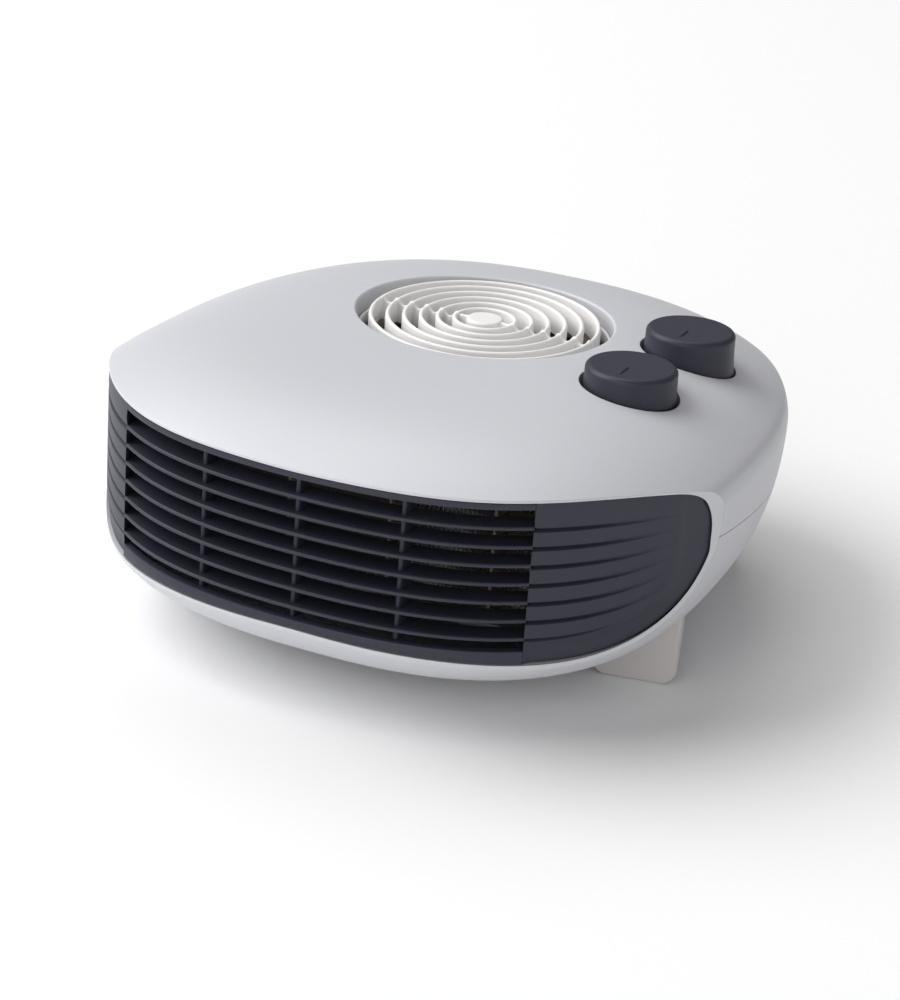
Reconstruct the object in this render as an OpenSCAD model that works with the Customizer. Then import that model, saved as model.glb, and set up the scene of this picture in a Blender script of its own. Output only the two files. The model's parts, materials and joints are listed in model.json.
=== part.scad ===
// Flat fan heater: a rounded shell in two halves, a curved louvred outlet in front,
// a ring grille over the fan on top, two knobs and four feet.
// Front faces -Y, +X is to the right of someone who looks at the front, floor at z = 0.

/* [Body] */
// Widest width of the body
body_w = 251; // [240:1:300]
// Depth of the body, from the middle of the outlet to the back
body_d = 272; // [262:1:326]
// Height of the middle of the crown above the floor
crown_z = 103.6; // [103:0.2:108]
// Height of the underside of the bowl above the floor
bowl_z = 9; // [7:0.5:9]
// Height of the crease where the crown meets the belt
crease_z = 84; // [83:0.5:86]
// Height of the widest line of the belt
belt_z = 75.6; // [74:0.2:78]
// How far the crease lies inside the widest line
belt_inset = 2.2; // [1:0.1:3]
// Thickness of the moulded covers
wall = 2.6; // [2.2:0.1:3]
// Distance from the front to the middle of the plan outline
plan_set = 111.3; // [108:0.1:116]
// Reach of the plan outline in front of its middle
plan_reach = 122.5; // [121:0.1:125]
// Height of the parting line at the ends of the outlet
split_z = 66.5; // [64:0.5:69]
// How much lower the parting line is at the back
split_drop = 23.64; // [20:0.02:24]
// Height of the tongue that keeps the covers in line
lap_h = 3; // [2:0.5:4]
// Clearance between pieces that fit in each other
fit_gap = 0.3; // [0.2:0.05:0.4]

/* [Outlet grille] */
// Radius of the front in the middle
front_r = 258; // [250:1:280]
// Extra sweep back of the front 25.5 mm inside the widest line
front_wrap = 23.9; // [20:0.1:26]
// Half width of the open slots
slot_half = 79.7; // [77:0.1:81]
// Distance between louvres
louvre_pitch = 6.9; // [6.7:0.05:6.95]
// Height of the front edge of the top louvre
louvre_z = 81; // [80.5:0.1:81.5]
// Number of louvres
louvres = 7; // [6:1:7]
// Thickness of a louvre
louvre_t = 1.5; // [1.2:0.1:1.8]
// Depth of a louvre from front to back
louvre_d = 11; // [9:0.5:11]
// Thickness of the grille's plate
plate_t = 3.6; // [3:0.1:4]
// Width of the rim of the covers that shows round the grille
rim_t = 0.8; // [0.7:0.1:1.1]
// Height of the edge left above the slots
slot_top = 2.2; // [1.8:0.1:2.6]
// Height of the edge left below the slots
slot_foot = 3; // [2:0.1:3.4]
// Distance between the upright bars
bar_pitch = 38.4; // [34:0.2:40]
// Set-back of the upright bars behind the louvre edges
bar_set = 2.9; // [2:0.1:4]
// Thickness of an upright bar
bar_t = 1.8; // [1.4:0.1:2.4]
// Depth of the grooves on the solid ends
groove_d = 1.6; // [0.8:0.1:1.8]
// Drop of the border round the solid ends
border_drop = 1.2; // [0.6:0.1:1.6]
// Width of the border round the solid ends
border_w = 6; // [4:0.5:7]
// Distance of the grille's ends from the widest line
end_in = 2; // [1.6:0.1:3]
// Length over which the upper corners of the grille are rounded off
corner_l = 13.5; // [10:0.5:16]

/* [Inlet grille] */
// Distance from the front to the middle of the fan
inlet_set = 154.4; // [150:0.2:158]
// Radius of the inlet opening
inlet_r = 50.1; // [49.5:0.1:52]
// Outer radius of the outermost ring
ring_r = 45.2; // [43:0.1:46]
// Distance between rings
ring_pitch = 6.5; // [6:0.1:6.6]
// Number of rings
rings = 6; // [4:1:6]
// Thickness of a ring
ring_t = 1.8; // [1.4:0.1:2.2]
// Height of the outer rings' tops
ring_top = 101.4; // [100.5:0.1:102]
// Radius of the disc in the middle
disc_r = 7.2; // [6:0.1:8]

/* [Knobs] */
// Distance of the front knob from the widest line of the body
knob_in = 50.5; // [49:0.5:53]
// How much further out the rear knob stands than the front one
knob_shift = 4; // [1:0.5:5]
// Distance from the front to the front knob
knob_set = 117; // [113:0.5:118]
// Distance between the knobs
knob_pitch = 52; // [51:0.5:56]
// Radius of a knob at its shoulder
knob_r = 17.1; // [16:0.1:17.4]
// Radius of a knob at its foot
knob_foot_r = 18.2; // [17.6:0.1:18.4]
// Height of a knob
knob_h = 19; // [16:0.1:20]
// Radius of the spindles
spindle_r = 3; // [2.5:0.1:3.5]
// Height of the floor of the knob wells
well_z = 90; // [89.5:0.1:90.5]

/* [Fan and motor] */
// Radius of the fan wheel
wheel_r = 48; // [44:0.5:48]
// Number of vanes
vanes = 22; // [16:1:26]
// Radius of the motor shaft
shaft_r = 2.5; // [2:0.1:3]
// Thickness of the stack of laminations
stack_h = 14; // [12:0.5:14]
// Radius of the rotor
rotor_r = 13; // [11:0.1:14]
// Gap between rotor and poles
air_gap = 0.35; // [0.3:0.05:0.5]

/* [Feet] */
// Width of a foot
foot_w = 32; // [28:0.5:34]
// Thickness of a foot at its top
foot_t = 8; // [6:0.2:9]
// Distance of the front feet from the front
foot_set = 92; // [88:0.5:96]
// Distance of the back feet from the back
back_foot_set = 57; // [54:0.5:60]

/* [Hidden] */
$fn = 64;

white = [0.86, 0.87, 0.89];
cream = [0.90, 0.89, 0.87];
slate = [0.19, 0.21, 0.26];
beige = [0.76, 0.74, 0.72];
khaki = [0.55, 0.52, 0.45];
steel = [0.72, 0.73, 0.75];
zinc = [0.80, 0.80, 0.78];
copper = [0.72, 0.42, 0.22];
bronze = [0.66, 0.52, 0.30];
mica = [0.78, 0.70, 0.55];
black = [0.12, 0.12, 0.13];

front_y = -body_d / 2;
plan_y = front_y + plan_set;
plan_a = body_w / 2;
reach_b = body_d - plan_set;
front_n = 2.53;
back_n = 2.37;
crown_n = 4.6;
crown_front = 1;
bowl_n = 6;
bowl_side = 0.4;
bowl_m = 2.2;
crease_k = 1 - belt_inset / plan_a;

// Plan outline: a superellipse, blunter towards the front; t is the angle from straight ahead
function plan_r(t, i = 0) =
    let (s = abs(sin(t)) / (plan_a - i),
         c = abs(cos(t)) / ((cos(t) > 0 ? plan_reach : reach_b) - i),
         n = cos(t) > 0 ? front_n : back_n)
    pow(pow(s, n) + pow(c, n), -1 / n);
function plan_point(t, k, z, i = 0) =
    [k * plan_r(t, i) * sin(t), plan_y - k * plan_r(t, i) * cos(t), z];
// Share of the way from the plan's middle to its outline at a place
function plan_k(x, y, i = 0) =
    let (s = abs(x) / (plan_a - i),
         c = abs(y - plan_y) / ((y < plan_y ? plan_reach : reach_b) - i),
         n = y < plan_y ? front_n : back_n)
    pow(pow(s, n) + pow(c, n), 1 / n);

// Half width at depth y of the outline drawn in to a share k
function width_at(k, y) =
    let (n = y < plan_y ? front_n : back_n, reach = y < plan_y ? plan_reach : reach_b)
    plan_a * pow(max(0, pow(k, n) - pow(abs(y - plan_y) / reach, n)), 1 / n);

// Crown: a dome that is flat in the middle and falls off to the crease, a little later in
// front; s runs from 0 to 1
function crown_h(s, t, i = 0) =
    let (n = crown_n + crown_front * pow(max(0, cos(t)), 2))
    crease_z + (crown_z - i - crease_z) * (1 - pow(s, n));
// Belt: bulges a little between the crease and the widest line
function belt_k(z) = 1 - (1 - crease_k) * pow((z - belt_z) / (crease_z - belt_z), 2);
// Below the widest line: a deep superelliptic bowl, p runs from 0 to 90 degrees
function bowl_h(p, i = 0) = belt_z - (belt_z - bowl_z - i) * pow(sin(p), 2 / bowl_m);
// The bowl's exponent: a little blunter towards the sides
function bowl_e(t) = bowl_n + bowl_side * pow(sin(t), 2);
function bowl_k(p, t) = pow(max(0, cos(p)), 2 / bowl_e(t));
function bowl_angle(z, i = 0) = asin(pow((belt_z - z) / (belt_z - bowl_z - i), bowl_m / 2));
// Height of the form's underside at a place in plan
function bottom_at(x, y, i = 0) =
    let (e = bowl_e(atan2(abs(x), plan_y - y)))
    bowl_h(acos(min(1, pow(plan_k(x, y, i), e / 2))), i);
// Height of the parting line on the outline at angle t
split_max = belt_z - lap_h - fit_gap - 0.6;
split_ref = 75;
function split_h(t) =
    let (back = plan_y - plan_r(t) * cos(t) - front_y - split_ref)
    min(split_max, split_z - split_drop * back / (body_d - split_ref));

columns = 48;
crown_rows = 7;
inner_rows = 5;
bowl_rows = 9;
function ring_row(k, z, i) =
    [for (c = [0 : columns - 1]) plan_point(c * 360 / columns, k, z, i)];
function crown_row(s, i) =
    [for (c = [0 : columns - 1])
        let (t = c * 360 / columns)
        plan_point(t, s * crease_k, crown_h(s, t, i), i)];
// Row a share w of the way down from the widest line to the parting line, raised by up
function side_row(w, i, up = 0) =
    [for (c = [0 : columns - 1])
        let (t = c * 360 / columns, z = belt_z + (split_h(t) + up - belt_z) * w)
        plan_point(t, bowl_k(bowl_angle(z, i), t), z, i)];
// Row a share w of the way down from the parting line to the bottom
function bowl_row(w, i) =
    [for (c = [0 : columns - 1])
        let (t = c * 360 / columns, p0 = bowl_angle(split_h(t), i), p = p0 + (90 - p0) * w)
        plan_point(t, bowl_k(p, t), bowl_h(p, i), i)];
crown_steps = [for (j = [1 : crown_rows]) sin(90 * j / crown_rows)];
inner_steps = [for (j = [inner_rows : -1 : 1]) sin(90 * j / inner_rows)];
bowl_steps = [for (j = [1 : bowl_rows]) 1 - pow(j / bowl_rows, 1.4)];
belt_mid = (belt_z + crease_z) / 2;
lap_i = wall / 2;
seam = 0.1;

// Skin through rings of points, closed by a point at each end
module skin(first, rows, last) {
    n = len(rows[0]);
    m = len(rows);
    points = concat([first], [for (r = rows) each r], [last]);
    start = [for (c = [0 : n - 1]) [0, 1 + (c + 1) % n, 1 + c]];
    sides = [for (r = [0 : m - 2]) for (c = [0 : n - 1])
        let (a = 1 + r * n + c, b = 1 + r * n + (c + 1) % n)
        each [[a, b, b + n], [a, b + n, a + n]]];
    end = [for (c = [0 : n - 1])
        let (a = 1 + (m - 1) * n)
        [m * n + 1, a + c, a + (c + 1) % n]];
    polyhedron(points, concat(start, sides, end), convexity = 6);
}

// The whole outer form as a solid, drawn in by i
module form(i) {
    rows = concat(
        [for (s = crown_steps) crown_row(s, i)],
        [ring_row(belt_k(belt_mid), belt_mid, i), side_row(0, i), side_row(0.5, i)],
        [for (j = [bowl_rows - 1 : -1 : 0]) bowl_row(bowl_steps[j], i)]);
    skin([0, plan_y, crown_z - i], rows, [0, plan_y, bowl_z + i]);
}
module top_skin() {
    up = lap_h + fit_gap;
    outer = concat(
        [for (s = crown_steps) crown_row(s, 0)],
        [ring_row(belt_k(belt_mid), belt_mid, 0), side_row(0, 0), side_row(0.5, 0)]);
    rim = [side_row(1, 0, seam), side_row(1, lap_i, seam), side_row(1, lap_i, up),
        side_row(1, wall, up)];
    inner = concat([side_row(0, wall)], [for (s = inner_steps) crown_row(s, wall)]);
    skin([0, plan_y, crown_z], concat(outer, rim, inner), [0, plan_y, crown_z - wall]);
}
module bottom_skin() {
    inside = [for (j = [1 : bowl_rows]) bowl_row(bowl_steps[j - 1], wall)];
    tongue = [side_row(1, wall, lap_h), side_row(1, lap_i + fit_gap, lap_h),
        side_row(1, lap_i + fit_gap)];
    outside = [for (j = [bowl_rows : -1 : 1]) bowl_row(bowl_steps[j - 1], 0)];
    skin([0, plan_y, bowl_z + wall], concat(inside, tongue, outside), [0, plan_y, bowl_z]);
}

// The front sheet: nearly flat in the middle, swept back towards its ends
wrap_x = plan_a - 25.5;
function sheet_y(x) = front_y + x * x / (2 * front_r) + front_wrap * pow(abs(x) / wrap_x, 4);
sheet_steps = 36;
sheet_x = [for (j = [0 : sheet_steps]) (2 * j / sheet_steps - 1) * (plan_a + 8)];
module ahead_of_sheet() {
    outline = concat([for (x = sheet_x) [x, sheet_y(x)]],
        [[sheet_x[sheet_steps], front_y - 20], [sheet_x[0], front_y - 20]]);
    translate([0, 0, -1]) linear_extrude(crown_z + 20) polygon(outline);
}

// Top and bottom edge of the opening in the sheet: those of the form, but with its upper
// corners rounded off towards its ends
function sheet_k(x, i) = plan_k(x, sheet_y(x), i);
function sheet_end(i) = plan_a - end_in - i;
function form_top(x, i) =
    let (k = sheet_k(x, i))
    k <= crease_k ? crown_h(k / crease_k, atan2(abs(x), plan_y - sheet_y(x)), i)
    : belt_z + (crease_z - belt_z) * sqrt((1 - k) / (1 - crease_k));
corner_n = 3.9;
corner_z = 63;
function edge_top(x, i) =
    let (from = plan_a - corner_l, w = max(0, (abs(x) - from) / (sheet_end(i) - from)))
    corner_z + (form_top(x, i) - corner_z) * pow(max(0, 1 - pow(w, corner_n)), 1 / corner_n);
function edge_bottom(x, i) = bottom_at(x, sheet_y(x), i);

// Grooves of the solid ends carry on the louvres and close up as the ends get lower
function smooth(a, b, x) = let (w = min(1, max(0, (x - a) / (b - a)))) w * w * (3 - 2 * w);
plate_i = rim_t + fit_gap;
end_low = edge_bottom(slot_half, plate_i);
end_high = edge_top(slot_half, plate_i) - end_low;
band = louvre_pitch / end_high;
function groove_v(g) = (louvre_z - g * louvre_pitch - end_low) / end_high;
// One band below a groove: share of the band's height, share of the groove's depth
band_rows = [[0, 1], [0.14, 0.4], [0.4, 0.08], [0.7, 0], [0.94, 0.1]];
low_v = groove_v(louvres - 1);
top_v = groove_v(0);
relief_rows = concat(
    [[0, 0], [low_v * 0.45, 0.05], [low_v - 0.14 * band, 0.4]],
    [for (g = [louvres - 1 : -1 : 0]) each concat([[groove_v(g), 1]], g == 0 ? []
        : [for (j = [4 : -1 : 1]) [groove_v(g - 1) - band_rows[j][0] * band, band_rows[j][1]]])],
    [[top_v + 0.06 * band, 0.1], [top_v + 0.5 * (1 - top_v), 0], [1, 0]]);
plate_end = sheet_end(plate_i);
// Depth of the front face of the plate behind the sheet
function relief_at(x, row, z) =
    let (u = (abs(x) - slot_half) / (plate_end - slot_half),
         e = min(plate_end - abs(x), (z - edge_bottom(x, plate_i)) * 0.8) / border_w)
    u < 0 ? 0
    : groove_d * row[1] * (1 - smooth(0.35, 0.8, u)) + border_drop * (1 - smooth(0, 1, e));

end_steps = 9;
mid_steps = 16;
mid_x = [for (j = [0 : mid_steps]) (2 * j / mid_steps - 1) * slot_half];
function end_x(i, from) =
    let (e = sheet_end(i))
    [for (j = [from : end_steps]) slot_half + (e - slot_half) * sin(90 * j / end_steps)];
function flip(xs) = [for (j = [len(xs) - 1 : -1 : 0]) -xs[j]];
// Closed sheet with the opening's outline at the places xs, from ahead to behind the front sheet
module plate(i, xs, rows, ahead, behind, relief) {
    n = len(xs);
    m = len(rows);
    function height(x, row) = edge_bottom(x, i) + row[0] * (edge_top(x, i) - edge_bottom(x, i));
    near = [for (x = xs) for (row = rows)
        let (z = height(x, row))
        [x, sheet_y(x) + ahead + (relief ? relief_at(x, row, z) : 0), z]];
    far = [for (x = xs) for (row = rows) [x, sheet_y(x) + behind, height(x, row)]];
    f = n * m;
    broad = [for (c = [0 : n - 2]) for (r = [0 : m - 2])
        let (a = c * m + r)
        each [[a, a + 1, a + m + 1], [a, a + m + 1, a + m],
            [f + a, f + a + m + 1, f + a + 1], [f + a, f + a + m, f + a + m + 1]]];
    long_edges = [for (c = [0 : n - 2])
        let (a = c * m, b = c * m + m - 1)
        each [[a, a + m, f + a + m], [a, f + a + m, f + a],
            [b, f + b + m, b + m], [b, f + b, f + b + m]]];
    ends = [for (r = [0 : m - 2])
        let (a = r, b = (n - 1) * m + r)
        each [[a, f + a + 1, a + 1], [a, f + a, f + a + 1],
            [b, b + 1, f + b + 1], [b, f + b + 1, f + b]]];
    polyhedron(concat(near, far), concat(broad, long_edges, ends), convexity = 6);
}

knob_at = [for (i = [0, 1])
    [plan_a - knob_in + i * knob_shift, front_y + knob_set + i * knob_pitch]];
fan_y = front_y + inlet_set;
hole_gap = 0.2;
thread_gap = 0.03;
press_gap = 0.02;
screw_r = 1.5;
screw_hole = screw_r + hole_gap;
thread_r = screw_r + thread_gap;
head_r = 2.9;
head_h = 2;
tall = 300;

// Height stations, from the floor up
lower_bracket_z = 18;
bracket_t = 2;
stack_z = 24;
stack_top = stack_z + stack_h;
upper_bracket_z = stack_top + 4;
mount_z = upper_bracket_z + bracket_t;
floor_z = 50;
sheet_t = 2;
wheel_z = 55;
lid_z = 88;
ledge_z = 91;
ledge_t = 1.5;

// Places of the case screws, the same on both sides: [x, y, height of the head]
split_low = 66;
case_y = [front_y + 68, front_y + body_d - 38];
case_k = [0.79876, 0.86109];
case_x = [width_at(case_k[0], case_y[0]), width_at(case_k[1], case_y[1])];
case_head_z = [40, 46];
case_places = [for (s = [-1, 1]) for (j = [0, 1]) [s * case_x[j], case_y[j], case_head_z[j]]];

// Places of the feet: [x, y, turn]
foot_y = [front_y + foot_set, front_y + body_d - back_foot_set];
foot_k = [0.77834, 0.85929];
foot_x = [width_at(foot_k[0], foot_y[0]), width_at(foot_k[1], foot_y[1])];
foot_turn = 11;
pad_rise = 9;
function foot_place(s, j) = [s * foot_x[j], foot_y[j]];
function pad_top(s, j) = bottom_at(foot_x[j], foot_y[j]) + pad_rise;

// Fan housing: a spiral round the wheel that opens into the outlet duct
duct_front = front_y + 48;
duct_half = slot_half + 0.3;
throat_y = fan_y - 58;
spiral_near = wheel_r + 3.5;
spiral_far = wheel_r + 14;
spiral_steps = 15;
function spiral_r(a) = spiral_near + (spiral_far - spiral_near) * a / 180;
function duct_outline(g, ahead = 0) = concat(
    [[-duct_half - g, duct_front - ahead], [duct_half + g, duct_front - ahead]],
    [[spiral_near + g, throat_y]],
    [for (j = [0 : spiral_steps])
        let (a = 180 * j / spiral_steps, r = spiral_r(a) + g)
        [r * cos(a), fan_y + r * sin(a)]],
    [[-spiral_far - g, throat_y]]);
ramp_drop = 16;
function duct_profile(low, high) = [
    [fan_y + 90, low], [fan_y + 90, high], [duct_front - 2, high],
    [duct_front - 2, low - ramp_drop], [throat_y, low]];
module duct_form(g, low, high, ahead = 0) {
    intersection() {
        linear_extrude(tall) polygon(duct_outline(g, ahead));
        rotate([90, 0, 90]) translate([0, 0, -tall / 2]) linear_extrude(tall)
            polygon(duct_profile(low, high));
    }
}
// A lug's middle sits this far outside the inner face of the wall
lug_out = 6.5;
lug_r = 5;
function round_lug(a) =
    [(spiral_r(a) + lug_out) * cos(a), fan_y + (spiral_r(a) + lug_out) * sin(a)];
foot_lugs = [round_lug(45), round_lug(135),
    [spiral_near + lug_out, fan_y - 48], [-spiral_far - lug_out, fan_y - 48]];
lid_lugs = [round_lug(62), round_lug(118),
    [-spiral_far - lug_out, fan_y - 20], [spiral_near + lug_out + 5, throat_y - 9]];
lug_h = 3;
lid_lug_h = 12;
element_ear_z = [46, 76];
ear_x = duct_half + 6.5;
ear_r = 4.5;
ear_t = 2.5;
mount_x = 34;
bolt_x = 19;

// Control bodies under the wells
control_w = 28;
control_h = 20;
control_z = well_z - sheet_t - control_h;
control_screw_x = 9.5;
well_gap = 0.5;
well_r = knob_foot_r + well_gap;
knob_z = well_z + 1;
spindle_low = control_z + 6;
collar_r = spindle_r + 2;
collar_h = 2;
run_gap = 0.05;

// Openings in the covers
grille_ahead = 1;
module grille_seat() {
    ahead_of_sheet();
    out = end_x(rim_t, 1);
    plate(rim_t, concat(flip(out), mid_x, out), [[0], [0.5], [1]], -grille_ahead,
        plate_t + fit_gap, false);
}
module at_each(places) {
    for (p = places) translate([p[0], p[1], 0]) children();
}
module at_knobs() {
    at_each(knob_at) children();
}
module tube(h, r, bore) {
    difference() {
        cylinder(h = h, r = r);
        translate([0, 0, -1]) cylinder(h = h + 2, r = bore);
    }
}

module top_cover() {
    well_wall = 2;
    boss_r = 4.5;
    color(white) difference() {
        union() {
            top_skin();
            intersection() {
                form(wall / 2);
                union() {
                    at_knobs() translate([0, 0, well_z - sheet_t])
                        cylinder(h = tall, r = well_r + well_wall);
                    translate([0, fan_y, ledge_z]) cylinder(h = tall, r = inlet_r + well_wall);
                    at_each(case_places) translate([0, 0, split_low]) cylinder(h = tall, r = boss_r);
                }
            }
        }
        at_knobs() {
            translate([0, 0, well_z]) cylinder(h = tall, r = well_r);
            translate([0, 0, control_z + 2]) cylinder(h = tall, r = spindle_r + 0.5);
            for (s = [-1, 1]) translate([s * control_screw_x, 0, control_z]) {
                cylinder(h = control_h + 5, r = screw_hole);
                translate([0, 0, control_h + 0.9]) cylinder(h = 5, r = head_r + 0.1);
            }
        }
        translate([0, fan_y, ledge_z + ledge_t]) cylinder(h = tall, r = inlet_r);
        translate([0, fan_y, ledge_z - 1]) cylinder(h = tall, r = inlet_r - ledge_t);
        at_each(case_places) translate([0, 0, split_low - 1]) cylinder(h = 15, r = thread_r);
        grille_seat();
    }
}

gland_z = 30;
gland_in = 13.431;
gland_y = plan_y + reach_b * bowl_k(bowl_angle(gland_z), 180) - gland_in;
gland_bore = 5.7;
gland_wall = 5;
pocket_r = 9;
block_y = gland_y - 18;
block_w = 40;
block_d = 16;
block_z = 21.5;
block_h = 12;
block_screw_x = 16;
module along_y() {
    rotate([-90, 0, 0]) children();
}
module bottom_cover() {
    boss_r = 6;
    post_r = 4.5;
    color(white) difference() {
        union() {
            bottom_skin();
            intersection() {
                form(wall / 2);
                union() {
                    at_each(case_places) cylinder(h = split_low, r = boss_r);
                    at_each(foot_lugs) cylinder(h = floor_z, r = post_r);
                    for (s = [-1, 1]) for (j = [0, 1])
                        at_each([foot_place(s, j)]) cylinder(h = pad_top(s, j), r = boss_r);
                    for (s = [-1, 1]) translate([s * block_screw_x, block_y, 0])
                        cylinder(h = block_z, r = post_r);
                    translate([0, gland_y - gland_wall, gland_z]) along_y()
                        cylinder(h = 60, r = pocket_r + 2);
                }
            }
        }
        for (p = case_places) translate([p[0], p[1], -1]) {
            cylinder(h = tall, r = screw_hole);
            cylinder(h = p[2] + 1, r = head_r + 0.5);
        }
        at_each(foot_lugs) translate([0, 0, floor_z - 15]) cylinder(h = tall, r = thread_r);
        for (s = [-1, 1]) for (j = [0, 1])
            at_each([foot_place(s, j)]) cylinder(h = tall, r = screw_hole);
        for (s = [-1, 1]) translate([s * block_screw_x, block_y, block_z - 7])
            cylinder(h = tall, r = thread_r);
        translate([0, gland_y, gland_z]) along_y() cylinder(h = 60, r = pocket_r);
        translate([0, gland_y - gland_wall - 1, gland_z]) along_y() cylinder(h = 60, r = gland_bore);
        grille_seat();
    }
}

window_z0 = edge_bottom(0, plate_i) + slot_foot;
window_z1 = edge_top(0, plate_i) - slot_top;
cheek_t = 1.5;
// Strip that follows the sheet between two depths
module strip(half, near, far) {
    n = 24;
    xs = [for (j = [0 : n]) (2 * j / n - 1) * half];
    polygon(concat([for (x = xs) [x, sheet_y(x) + near]],
        [for (j = [n : -1 : 0]) [xs[j], sheet_y(xs[j]) + far]]));
}
module front_grille() {
    edge_y = sheet_y(slot_half);
    wing_x = concat([slot_half - 0.6], end_x(plate_i, 0));
    color(slate) union() {
        difference() {
            union() {
                plate(plate_i, mid_x, [[0], [0.5], [1]], 0, plate_t, false);
                plate(plate_i, wing_x, relief_rows, 0, plate_t, true);
                plate(plate_i, flip(wing_x), relief_rows, 0, plate_t, true);
            }
            translate([-slot_half, front_y - 10, window_z0])
                cube([2 * slot_half, 60, window_z1 - window_z0]);
        }
        for (g = [0 : louvres - 1]) translate([0, 0, louvre_z - g * louvre_pitch - louvre_t / 2])
            linear_extrude(louvre_t) strip(slot_half + cheek_t / 2, 0, louvre_d);
        for (x = [-bar_pitch, 0, bar_pitch])
            translate([x - bar_t / 2, sheet_y(x) + bar_set, window_z0 - 1])
                cube([bar_t, louvre_d - bar_set - 1, window_z1 - window_z0 + 2]);
        for (x = [-slot_half - cheek_t, slot_half]) translate([x, edge_y + 1, window_z0 - 1])
            cube([cheek_t, louvre_d - 1, window_z1 - window_z0 + 2]);
    }
}

grille_z = ledge_z + ledge_t;
ring_low = grille_z + 0.5;
hoop_r = inlet_r - fit_gap;
rib_top = ring_top - 0.4;
function ring_at(j) = ring_r - j * ring_pitch - ring_t / 2;
// Top edge of a rib, from the hoop inwards: it dips between rings and rises to each of them
function dip(a, b, sag) = [for (q = [0 : 6]) [a + (b - a) * q / 6, rib_top - sag * sin(30 * q)]];
function rib_tops(reach, low, sag) = concat(
    [for (q = [1 : 4]) let (w = q / 5)
        [reach + (ring_r - reach) * w, low + (rib_top - low) * w * w]],
    [for (j = [0 : rings - 1]) each dip(ring_at(j) - ring_t / 2,
        j == rings - 1 ? disc_r : ring_at(j + 1) + ring_t / 2, sag)]);
module inlet_grille() {
    hoop_t = 1.4;
    rib_t = 2;
    rib_low = ring_top - 6.5;
    sag = 2.6;
    reach = hoop_r - hoop_t / 2;
    color(cream) translate([0, fan_y, 0]) {
        translate([0, 0, grille_z]) tube(3.5, hoop_r, hoop_r - hoop_t);
        for (j = [0 : rings - 1]) translate([0, 0, ring_low])
            tube(ring_top - ring_low, ring_at(j) + ring_t / 2, ring_at(j) - ring_t / 2);
        translate([0, 0, ring_low]) cylinder(h = ring_top - ring_low, r = disc_r);
        for (s = [0, 180]) rotate([90, 0, s]) translate([0, 0, -rib_t / 2]) linear_extrude(rib_t)
            polygon(concat([[0, grille_z], [reach, grille_z], [reach, rib_low]],
                rib_tops(reach, rib_low, sag), [[0, ring_top]]));
        for (s = [0, 180]) rotate([0, 0, s]) translate([-rib_t / 2, 0, grille_z])
            cube([rib_t, reach, 3]);
    }
}

hub_r = 6;
hub_low = knob_z + 2;
bore_top = knob_z + knob_h - 4;
module knob() {
    skin_t = 2;
    shoulder_r = knob_r - 1.7;
    round_h = 2;
    top = knob_z + knob_h;
    side = [for (q = [0 : 4]) let (a = 22.5 * q)
        [shoulder_r + (knob_r - shoulder_r) * cos(a), top - round_h + round_h * sin(a)]];
    color(slate) difference() {
        union() {
            rotate_extrude() polygon(concat(
                [[0, top - skin_t], [knob_r - skin_t - 1, top - skin_t],
                    [knob_foot_r - skin_t, knob_z], [knob_foot_r, knob_z]],
                side, [[0, top]]));
            translate([0, 0, hub_low]) cylinder(h = top - hub_low - skin_t / 2, r = hub_r);
            translate([-1, -shoulder_r + 1, top - 0.1]) cube([2, 8, 0.6]);
        }
        translate([0, 0, hub_low - 1]) cylinder(h = bore_top - hub_low + 1, r = spindle_r + press_gap);
    }
}
module power_knob() {
    at_each([knob_at[0]]) knob();
}
module thermostat_knob() {
    at_each([knob_at[1]]) knob();
}
module spindle() {
    color(zinc) {
        translate([0, 0, spindle_low]) cylinder(h = bore_top - 0.3 - spindle_low, r = spindle_r);
        translate([0, 0, spindle_low]) cylinder(h = collar_h, r = collar_r);
    }
}
module power_spindle() {
    at_each([knob_at[0]]) spindle();
}
module thermostat_spindle() {
    at_each([knob_at[1]]) spindle();
}
module control_body(tint, tabs) {
    side = control_w / 2;
    color(tint) difference() {
        union() {
            translate([-side, -side, control_z]) cube([control_w, control_w, control_h]);
            for (x = tabs) translate([x - 2.4, -0.4, control_z - 7]) cube([4.8, 0.8, 8]);
        }
        translate([0, 0, spindle_low - run_gap])
            cylinder(h = collar_h + 2 * run_gap, r = collar_r + run_gap);
        translate([0, 0, spindle_low]) cylinder(h = control_h, r = spindle_r + run_gap);
        for (s = [-1, 1]) translate([s * control_screw_x, 0, control_z + 8])
            cylinder(h = control_h, r = thread_r);
    }
}
module power_switch_body() {
    at_each([knob_at[0]]) control_body(black, [-9, 0, 9]);
}
module thermostat_body() {
    at_each([knob_at[1]]) control_body(beige, [-8, 8]);
}
// Screw with its head up: the head's underside at z = 0
module screw(length) {
    color(steel) {
        translate([0, 0, -length]) cylinder(h = length + 0.1, r = screw_r);
        difference() {
            cylinder(h = head_h, r = head_r);
            translate([-head_r, -0.4, head_h - 0.8]) cube([2 * head_r, 0.8, 2]);
        }
    }
}
module control_screws() {
    flat_h = 1;
    color(steel) at_knobs() for (s = [-1, 1])
        translate([s * control_screw_x, 0, well_z - sheet_t - 9]) {
            cylinder(h = 10, r = screw_r);
            translate([0, 0, 9 + 0.9]) cylinder(h = flat_h, r = head_r);
        }
}

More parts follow.
